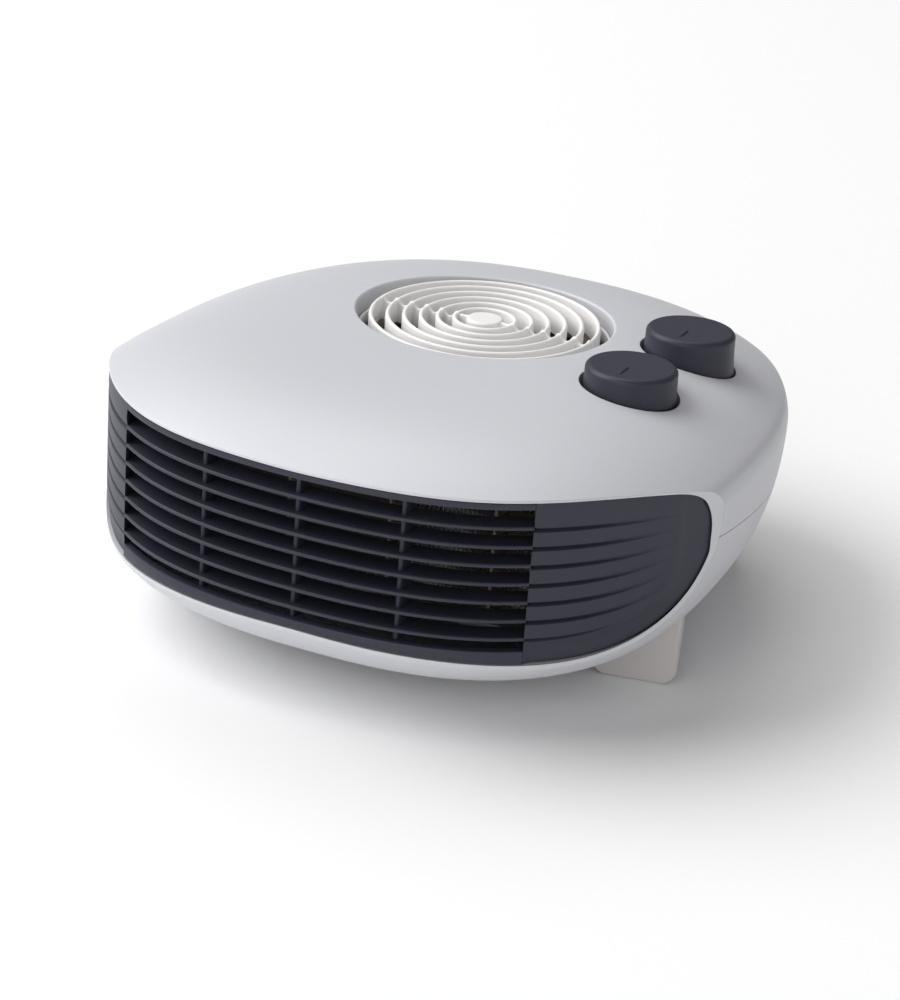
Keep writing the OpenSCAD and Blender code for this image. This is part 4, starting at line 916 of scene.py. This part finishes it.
# %% Ribs
def rib_tops(x):
    """Top of the rib: falls to the hoop outside the rings, and between two rings it dips by
    half a sine wave, raised to a power so that a sharp cusp stands on each ring."""
    innermost = OUTER_RING - RING_PITCH * (RINGS - 1)
    place = (OUTER_RING - np.abs(x)) % RING_PITCH / RING_PITCH
    gap = np.clip((place * RING_PITCH - RING_T / 2) / (RING_PITCH - RING_T), 0, 1)
    top = RING_TOP + RIB_CUSP - RIB_SAG * np.sin(np.pi * gap) ** RIB_POWER
    out = np.clip((HOOP_MIDDLE - np.abs(x)) / (HOOP_MIDDLE - RING_R), 0, 1)
    top = np.where(np.abs(x) > OUTER_RING, RING_TOP - 6.5 + 6.1 * out ** 2, top)
    return np.where(np.abs(x) < innermost - RING_T / 2, RING_TOP - 0.4, top)


def rib(along_x):
    """Rib through the middle with a round top; the one along Y is low."""
    s = np.linspace(-HOOP_R + 1, HOOP_R - 1, 481 if along_x else 3)
    top = rib_tops(s) if along_x else np.full_like(s, LEDGE_Z + RIB_LOW)
    across = np.array([-1, -1, -0.8, -0.4, 0, 0.4, 0.8, 1, 1])[:, None] * RIB_T / 2
    down = np.array([0, 0.6, 0.25, 0.06, 0, 0.06, 0.25, 0.6, 0])[:, None]
    z = top - down
    z[[0, -1]] = LEDGE_Z
    x, y = (s + 0 * z, across + 0 * z) if along_x else (-across + 0 * z, s + 0 * z)
    return np.stack([x, y + FAN_Y, z], -1), None, grid_faces(*z.shape)


print("rib on a ring and between",
      np.round(rib_tops(OUTER_RING - RING_PITCH * np.array([1, 1.5])), 1))


# %% Inlet grille
def lifted(places):
    """The tops follow the crown, which rises backwards: the lift grows along Y, and with the
    height above the ledge."""
    lift = LIFT + SLANT * (places[..., 1] - FAN_Y)
    share = np.clip((places[..., 2] - LEDGE_Z - HOOP_H) / (RING_TOP - LEDGE_Z - HOOP_H), 0, 1)
    return places + np.stack([0 * lift, 0 * lift, lift * share], -1)


def inlet_grille():
    """Rings, hoop, disc and ribs, lifted to the crown."""
    patches = [ring(OUTER_RING - RING_PITCH * j, LEDGE_Z + SEAT_GAP, RING_TOP, RING_T, RING_ROUND)
               for j in range(RINGS)]
    patches += [ring(HOOP_MIDDLE, LEDGE_Z, LEDGE_Z + HOOP_H, HOOP_T, 0.5), disc()]
    patches += [rib(True), rib(False)]
    return [(lifted(places), normals, faces) for places, normals, faces in patches]


make("inlet_rings", inlet_grille(), "case", "ring_cream", ["inlet_grille"])

# %% [markdown]
# ## Knobs
# Each knob is a cap on a flared foot, with a rounded shoulder, a slightly hollow top and a raised
# mark. A bevelled cylinder would come close, but its side would be straight. A profile turned
# round the axis gives the flare, the shoulder and the hollow in one patch. The knobs ride on the
# bodies of their controls, so they turn with the joints.

# %% Sizes of the knobs
KNOB_LOW, KNOB_TOP, SHOULDER_H = 91.0, 110.0, 2
FOOT_R, SHOULDER_R, CAP_R, FLARE_N = 18.2, 17.1, 15.1, 1.8
HOLLOW, SKIRT_T = 0.12, 2
MARK_X, MARK_Y, MARK_ROUND = (-2, 0), (-11, -3), 0.7
MARK_RISE, MARK_INSET = (0.0, 0.3, 0.45, 0.5), (0.0, 0.05, 0.2, 0.45)
print("knobs", KNOB_TOP - KNOB_LOW, "high and", 2 * FOOT_R, "across the foot")


# %% Knobs
def knob(centre):
    """Knob turned from a flared foot: the side's radius is the shoulder's plus the flare times
    a power of the height left; then a rounded shoulder and a slightly hollow top."""
    z = np.linspace(KNOB_LOW + 0.4, KNOB_TOP - SHOULDER_H, 18)
    left = (KNOB_TOP - SHOULDER_H - z) / (KNOB_TOP - KNOB_LOW - SHOULDER_H - 0.4)
    side = SHOULDER_R + (FOOT_R - SHOULDER_R) * left ** FLARE_N
    skirt = [[FOOT_R - SKIRT_T, KNOB_TOP - 3], [FOOT_R - SKIRT_T, KNOB_LOW],
             [FOOT_R - 0.3, KNOB_LOW], [FOOT_R - 0.05, KNOB_LOW + 0.15]]
    shoulder = arc((CAP_R, KNOB_TOP - SHOULDER_H), (SHOULDER_R - CAP_R, SHOULDER_H), 0, 90, 13)
    inner = np.linspace(1, 0.001, 8)
    top = np.column_stack([CAP_R * 0.985 * inner, KNOB_TOP - HOLLOW * (1 - inner ** 2)])
    profile = np.vstack([skirt, np.column_stack([side, z]), shoulder[1:], top])
    return [lathe(profile, centre, 144), pointer(*centre)]


def pointer(x, y):
    """Raised mark on a knob's top: a low bar whose rim is a loop of four rounded corners, drawn
    in more the higher it is."""
    t = np.radians(np.arange(0, 360, 15))
    low, high = np.array([x + MARK_X[0], y + MARK_Y[0]]), np.array([x + MARK_X[1], y + MARK_Y[1]])
    middle, half = (low + high) / 2, (high - low) / 2
    way = np.stack([np.cos(t), np.sin(t)], 1)
    corner = middle + (half - MARK_ROUND) * np.sign(np.round(way, 6) + TINY)
    rows = [np.column_stack([corner + (MARK_ROUND - inset) * way,
                             np.full(len(t), KNOB_TOP - HOLLOW + rise)])
            for rise, inset in zip(MARK_RISE, MARK_INSET)]
    rows.append(np.column_stack([np.repeat(middle[None], len(t), 0),
                                 np.full(len(t), KNOB_TOP + 0.4)]))
    return np.stack(rows), None, grid_faces(len(rows), len(t), closed=True)


for control, centre in KNOBS.items():
    make(f"{control}_cap", knob(centre), f"{control}_control", "grille_slate", [f"{control}_knob"])

# %% [markdown]
# ## Feet
# Four slabs hold the bowl off the floor, each turned a little so that its ends follow the
# outline. A bevelled box cut by the bowl would do, but a foot also thins towards the floor, where
# its corners are round. A stack of rounded rectangles gives both, and each of its points stops at
# the bowl's height.

# %% Sizes of the feet
FOOT_PLACES = {"front": (97.0, -44.0, 11), "back": (80.0, 79.0, -11)}
FOOT_W, FOOT_T, FOOT_CORNER, FOOT_SLIM, SLIM_H = 32.0, 8.0, 6.0, 3.0, 24
FOOT_EDGE, FOOT_ROUND, INTO_BOWL = 0.8, 1.6, 0.35
print("feet", FOOT_W, "by", FOOT_T)


# %% Feet
def foot(place, turn):
    """Foot as a stack of rounded rectangles: as wide as a circle of the corner's radius allows
    near the floor, thinner towards it, and cut by the bowl at its top."""
    share = np.concatenate([1 - np.cos(np.radians(np.linspace(0, 90, 10))),
                            np.linspace(1, 8, 40)[1:]])
    z = share * FOOT_CORNER
    lift = np.clip(FOOT_CORNER - z, 0, FOOT_CORNER)
    half_w = FOOT_W / 2 - FOOT_CORNER + np.sqrt(FOOT_CORNER ** 2 - lift ** 2)
    slim = FOOT_SLIM / 2 * (1 - np.clip(z / SLIM_H, 0, 1))
    half_d = FOOT_T / 2 - slim - quarter(z, FOOT_EDGE)
    t = np.radians(np.arange(0, 360, 7.5) + 0.01)
    r = np.minimum(FOOT_ROUND, half_d - 0.2)[:, None]
    u = np.sign(np.cos(t)) * (half_w[:, None] - r) + r * np.cos(t)
    v = np.sign(np.sin(t)) * (half_d[:, None] - r) + r * np.sin(t)
    x = place[0] + u * np.cos(turn) - v * np.sin(turn)
    y = place[1] + u * np.sin(turn) + v * np.cos(turn)
    z = np.minimum(z[:, None], bowl_height(x, y) + INTO_BOWL)
    places = np.stack([x, y, z], -1)
    n = len(t)
    base = np.vstack([[[place[0], place[1], 0.0]], places[0]])
    fan = np.stack([np.zeros(n, int), 1 + (np.arange(n) + 1) % n, 1 + np.arange(n)], 1)
    return [(places, None, grid_faces(len(places), n, closed=True)), (base, None, fan)]


for end, (x, y, turn) in FOOT_PLACES.items():
    for side, s in {"left": -1, "right": 1}.items():
        make(f"{end}_{side}_pad", foot((s * x, y), s * np.radians(turn)), "case", "foot_beige",
             [f"{end}_{side}_foot"])

# %% [markdown]
# ## Element wire
# Behind the louvres six coils of resistance wire cross the duct, linked at their ends. A curve
# with a bevel depth would draw them, but it would have to be made a mesh for the export. Here
# each coil is a helix, and at each step a ring of points stands round it, in the plane across.

# %% Sizes of the element wire
COIL_END, COIL_Y, COIL_R, COIL_TURNS, COIL_WIRE = 75.0, -95.0, 2.25, 88, 0.33
COILS, COIL_PITCH, LINK_WIRE = 6, 7.6, 0.5
COIL_LOW = 33.0 + 28 - COIL_PITCH * (COILS - 1) / 2
OBLIQUE = [0.13, 0.21, 0.97]
print("wire in each coil", round(COIL_TURNS * 2 * np.pi * COIL_R), "long")


# %% Element wire
def tube(path, radius, sides=8):
    """Tube round a path: at each step a ring of points round the way ahead, set out from the
    cross product with an oblique direction that the path never takes."""
    along = unit(np.gradient(path, axis=0))
    side = unit(np.cross(along, OBLIQUE))
    other = np.cross(along, side)
    a = turned(sides)[:, None]
    rings = path[:, None] + radius * (side[:, None] * np.cos(a) + other[:, None] * np.sin(a))
    return rings, None, grid_faces(len(path), sides, closed=True)


def element_wire():
    """Resistance wire: six coils between the fins, each a helix along X, linked at their ends."""
    patches = []
    s = np.linspace(0, 1, COIL_TURNS * 14 + 1)
    a = 2 * np.pi * COIL_TURNS * s
    for k in range(COILS):
        x, z = -COIL_END + 2 * COIL_END * s, COIL_LOW + k * COIL_PITCH
        path = np.stack([x, COIL_Y + COIL_R * np.sin(a), z + COIL_R * np.cos(a)], 1)
        patches.append(tube(path, COIL_WIRE, 5))
    for k in range(COILS - 1):
        x = (1 if k % 2 == 0 else -1) * COIL_END
        path = np.array([[x, COIL_Y, COIL_LOW + k * COIL_PITCH + COIL_R],
                         [x, COIL_Y, COIL_LOW + (k + 0.5) * COIL_PITCH],
                         [x, COIL_Y, COIL_LOW + (k + 1) * COIL_PITCH - COIL_R]])
        patches.append(tube(path, LINK_WIRE))
    return patches


make("element_wire", element_wire(), "case", "steel", ["heating_coils"])

# %% [markdown]
# ## Finishes
# The covers, grilles, knobs and feet are plastic with a fine grain, and what is inside is zinc,
# steel, copper, bronze, mica and more plastic. Pictures of such surfaces could be wrapped round
# the pieces, but they show seams and repeat. Noise in object space does neither, and it bakes
# well for the export. There is one finish for each of the record's material slots, whose colour,
# roughness and bump vary a little over each surface.

# %% Shader maths
class Sock:
    """A shader socket that can be added, multiplied and so on: each sign makes its Math node."""

    def __init__(self, paint, value):
        self.paint, self.value = paint, value

    def math(self, kind, *others):
        """Math node of a kind, with this socket first."""
        return self.paint.node("ShaderNodeMath", {"operation": kind}, self, *others)

    def __add__(self, other):
        return self.math("ADD", other)

    def __sub__(self, other):
        return self.math("SUBTRACT", other)

    def __mul__(self, other):
        return self.math("MULTIPLY", other)

    def __rsub__(self, other):
        return self.paint.node("ShaderNodeMath", {"operation": "SUBTRACT"}, other, self)

    __radd__, __rmul__ = __add__, __mul__

    def clamped(self, low=0.0, high=1.0):
        """The smaller of high and of the larger of this and low."""
        return self.math("MAXIMUM", low).math("MINIMUM", high)


# %% A material and its nodes
class Paint:
    """A material whose nodes are made by one method."""

    def __init__(self, name):
        self.material = bpy.data.materials.new(name)
        self.material.use_nodes = True
        self.tree = self.material.node_tree
        self.shader = self.tree.nodes["Principled BSDF"]
        self.place = self.node("ShaderNodeTexCoord", {}, out="Object")

    def node(self, kind, settings, *inputs, out=0, **named):
        """Node with its settings, then the values or links of its sockets, in order or by name
        with underscores for spaces."""
        made = self.tree.nodes.new(kind)
        for key, value in settings.items():
            setattr(made, key, value)
        for key, value in [*enumerate(inputs), *named.items()]:
            self.link(made.inputs[key.replace("_", " ") if isinstance(key, str) else key], value)
        return Sock(self, made.outputs[out])

    def link(self, socket, value):
        """Link from a socket, or a plain value."""
        if isinstance(value, Sock):
            self.tree.links.new(value.value, socket)
        else:
            socket.default_value = value

    def noise(self, scale, detail):
        """Noise in object space."""
        return self.node("ShaderNodeTexNoise", {}, Vector=self.place, Scale=scale, Detail=detail)

    def mix(self, share, a, b):
        """Colour a, and a share of b in its place."""
        made = self.node("ShaderNodeMix", {"data_type": "RGBA"}, out=2)
        node = made.value.node
        for key, value in ((0, share), (6, a), (7, b)):
            self.link(node.inputs[key], value)
        return made

    def bump(self, height, depth, distance):
        """Normal tilted by the slope of a height, times a strength and a distance in metres."""
        return self.node("ShaderNodeBump", {}, Height=height, Strength=depth, Distance=distance)

    def set(self, **named):
        """Values or links of the shader's own sockets."""
        for key, value in named.items():
            self.link(self.shader.inputs[key.replace("_", " ")], value)
        return self


# %% [markdown]
# ## Plastic, metal and mica
# Moulded plastic has one colour, a fine grain that dulls its shine, and a drift in tone that only
# shows on the large covers. Rolled or turned metal has fine lines along one way. Pressed mica is
# pale flakes in a darker binder. Photographs of all three could be wrapped round the pieces, but
# each is only a few nodes: noise for the grain, noise squeezed along two axes for the lines, and
# cells for the flakes.

# %% Plastic, metal and mica
DRIFT_SCALE, DRIFT_ROUGH = 9.0, 0.02
GRAIN_SCALE, GRAIN_ROUGH, GRAIN_H = 2600.0, 0.03, 0.00004
BRUSHED, LINE_SCALE, LINE_ROUGH, LINE_H = (40.0, 40.0, 900.0), 20.0, 0.22, 0.00005
FLAKE_SCALE = 700.0


def shade(color, share=1.0):
    """Colour times a share, with full alpha."""
    return (*(c * share for c in color), 1)


def moulded(name, color, roughness, grain=0.12, tint=0.97, shine=0.5):
    """Moulded plastic: fine grain in the surface, and a slow drift in tone."""
    paint = Paint(name)
    drift = paint.noise(DRIFT_SCALE, 2.0)
    fine = paint.noise(GRAIN_SCALE, 2.0)
    rough = drift * DRIFT_ROUGH + (roughness - DRIFT_ROUGH / 2) + fine * GRAIN_ROUGH
    return paint.set(Base_Color=paint.mix(drift, shade(color, tint), shade(color)),
                     Specular_IOR_Level=shine, Roughness=rough.clamped(),
                     Normal=paint.bump(fine, grain, GRAIN_H)).material


def metal(name, color, roughness):
    """Metal with fine lines along one direction: noise that is squeezed along the other two."""
    paint = Paint(name)
    lines = paint.node("ShaderNodeMapping", {}, Vector=paint.place, Scale=BRUSHED)
    fine = paint.node("ShaderNodeTexNoise", {}, Vector=lines, Scale=LINE_SCALE, Detail=3.0)
    return paint.set(Base_Color=paint.mix(fine, shade(color, 0.82), shade(color)), Metallic=1.0,
                     Roughness=(fine * LINE_ROUGH + roughness - 0.1).clamped(),
                     Normal=paint.bump(fine, 0.15, LINE_H)).material


def flecked(name, color, roughness):
    """Pressed mica: pale flakes in a darker binder."""
    paint = Paint(name)
    flake = paint.node("ShaderNodeTexVoronoi", {}, Vector=paint.place, Scale=FLAKE_SCALE)
    return paint.set(Base_Color=paint.mix(flake, shade(color), shade(color, 0.6)),
                     Roughness=roughness).material


# %% A finish for each slot
FINISH = {
    "shell_white": moulded("shell white", (0.59, 0.595, 0.63), 0.42),
    "grille_slate": moulded("grille slate", (0.0275, 0.0295, 0.046), 0.46, grain=0.2, shine=0.35),
    "ring_cream": moulded("ring cream", (0.87, 0.855, 0.845), 0.45),
    "foot_beige": moulded("foot beige", (0.55, 0.52, 0.51), 0.55),
    "duct_khaki": moulded("duct khaki", (0.20, 0.175, 0.13), 0.6, tint=0.85),
    "steel": metal("steel", (0.45, 0.45, 0.46), 0.36),
    "frame_zinc": metal("zinc", (0.58, 0.58, 0.56), 0.42),
    "winding_copper": metal("copper", (0.62, 0.28, 0.14), 0.35),
    "bush_bronze": metal("bronze", (0.5, 0.36, 0.18), 0.4),
    # The mica's brown is darker than its own tone. This is painted shade that keeps the inside
    # behind the louvres dark.
    "mica": flecked("mica", (0.24, 0.18, 0.12), 0.5),
    "black_plastic": moulded("black plastic", (0.02, 0.02, 0.022), 0.45),
}
print("finishes:", *FINISH)

# %% [markdown]
# ## Which piece wears which finish
# The new pieces were given a slot when they were made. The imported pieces, which show inside and
# when the part is taken apart, get theirs here by name. Each could be set by hand in the
# outliner, but a list can be read and changed, and whatever it doesn't name is steel.

# %% Which piece wears which finish
BY_NODE = {
    "duct_khaki": "fan_housing fan_housing_lid fan_wheel",
    "frame_zinc": "element_frame upper_bearing_bracket lower_bearing_bracket power_spindle "
                  "thermostat_spindle",
    "winding_copper": "motor_coil", "bush_bronze": "upper_bearing lower_bearing",
    "mica": "mica_supports", "foot_beige": "thermostat_body terminal_block",
    "black_plastic": "power_switch_body thermal_cutout switch_lead thermostat_lead motor_lead "
                     "element_lead cord_gland",
}
SLOT_OF = {node: slot for slot, names in BY_NODE.items() for node in names.split()}
for node, shown in frame["nodes"].items():
    if not shown.hide_render:
        slot = SLOT_OF.get(node, "steel")
        shown.data.materials.clear()
        shown.data.materials.append(FINISH[slot])
        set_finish(shown, slot)
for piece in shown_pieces():
    if "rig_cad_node" not in piece:
        piece.data.materials.append(FINISH[piece["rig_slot"]])

# %% [markdown]
# ## Camera and floor
# The photograph looks down on the heater from the front right, and the camera leans a little. A
# camera aimed by eye would show it about as large, but not in the same perspective. So its aim,
# distance and focal length come from fitting the outline of the body to the photograph. The floor
# is a wide pale disc that takes the soft shadow under the bowl.

# %% Camera
TARGET = np.array([0.0469, -0.1108, 0.0825])
AZIMUTH, ELEVATION, ROLL = np.radians([23.32, 23.03, 4.46])
DISTANCE, FOCAL_PX, HEIGHT_PX, SENSOR = 0.8606, 2525.5, 1000, 36


def in_scene(name, data):
    """New object of some data, in the scene."""
    made = bpy.data.objects.new(name, data)
    bpy.context.scene.collection.objects.link(made)
    return made


def place_camera():
    """Camera on the far end of the view ray: target minus distance times the forward direction,
    with its right and up turned by the roll."""
    ca, sa, ce, se = np.cos(AZIMUTH), np.sin(AZIMUTH), np.cos(ELEVATION), np.sin(ELEVATION)
    forward = np.array([-sa * ce, ca * ce, -se])
    right = np.array([ca, sa, 0.0])
    up = np.cross(right, forward)
    right, up = (np.cos(ROLL) * right + np.sin(ROLL) * up,
                 np.cos(ROLL) * up - np.sin(ROLL) * right)
    data = bpy.data.cameras.new("camera")
    data.sensor_width = SENSOR
    data.lens = FOCAL_PX * SENSOR / HEIGHT_PX
    data.clip_start, data.clip_end = 0.05, 20
    camera = in_scene("camera", data)
    matrix = Matrix(np.column_stack([right, up, -forward]).tolist()).to_4x4()
    matrix.translation = Vector(TARGET - DISTANCE * forward)
    camera.matrix_world = matrix
    bpy.context.scene.camera = camera
    print("camera at", np.round(matrix.translation, 3))


place_camera()


# %% Floor
def add_floor(radius=3.0, sides=64):
    """Pale disc at height zero: one face with many corners."""
    t = turned(sides)
    edge = np.stack([radius * np.cos(t), radius * np.sin(t), 0 * t], 1)
    mesh = bpy.data.meshes.new("floor")
    mesh.from_pydata(edge.tolist(), [], [list(range(sides))])
    pale = Paint("floor").set(Base_Color=(0.94, 0.94, 0.94, 1), Roughness=0.7)
    floor = in_scene("floor", mesh)
    floor.data.materials.append(pale.material)
    print("floor", 2 * radius, "m across")


add_floor()

# %% [markdown]
# ## Light
# Four broad discs of light stand well away from the object: the strongest high on the left,
# weaker ones in front, above and low on the right. A dim even light from all round fills the
# shadows. Small lamps close by would be simpler to place, but they would give hard shadows and
# spots in the plastic.

# %% Lights
LIGHTS = {"left": ((-0.75, -0.2, 0.63), 2.35), "front": ((0.0, -0.95, 0.3), 0.9),
          "above": ((-0.4, 0.3, 0.87), 1.0), "right": ((0.97, -0.24, 0.06), 0.5)}
LIGHT_AWAY, LIGHT_SIZE, LIT = 8.0, 7.5, (0, 0, 0.06)


def add_light(name, toward, strength):
    """Disc that faces the object; its power is its strength times four times its distance
    squared."""
    data = bpy.data.lights.new(name, "AREA")
    data.shape, data.size, data.energy = "DISK", LIGHT_SIZE, strength * 4 * LIGHT_AWAY ** 2
    light = in_scene(name, data)
    light.location = tuple(np.array(toward) * LIGHT_AWAY + LIT)
    light.rotation_euler = (Vector(LIT) - light.location).to_track_quat("-Z", "Y").to_euler()


for name, (toward, strength) in LIGHTS.items():
    add_light(name, toward, strength)
print("lights:", *LIGHTS)


# %% World
def plain_world(lit=0.2, seen=1.0):
    """Dim even light from all round, and plain white where the camera looks past the floor."""
    world = bpy.data.worlds.new("world")
    bpy.context.scene.world = world
    world.use_nodes = True
    tree = world.node_tree
    ray = tree.nodes.new("ShaderNodeLightPath")
    level = tree.nodes.new("ShaderNodeMapRange")
    level.inputs["To Min"].default_value, level.inputs["To Max"].default_value = lit, seen
    tree.links.new(ray.outputs["Is Camera Ray"], level.inputs["Value"])
    background = tree.nodes["Background"]
    background.inputs["Color"].default_value = (1, 1, 1, 1)
    tree.links.new(level.outputs["Result"], background.inputs["Strength"])


plain_world()
print("world:", bpy.context.scene.world.name)
bpy.context.scene.view_settings.view_transform = "Standard"
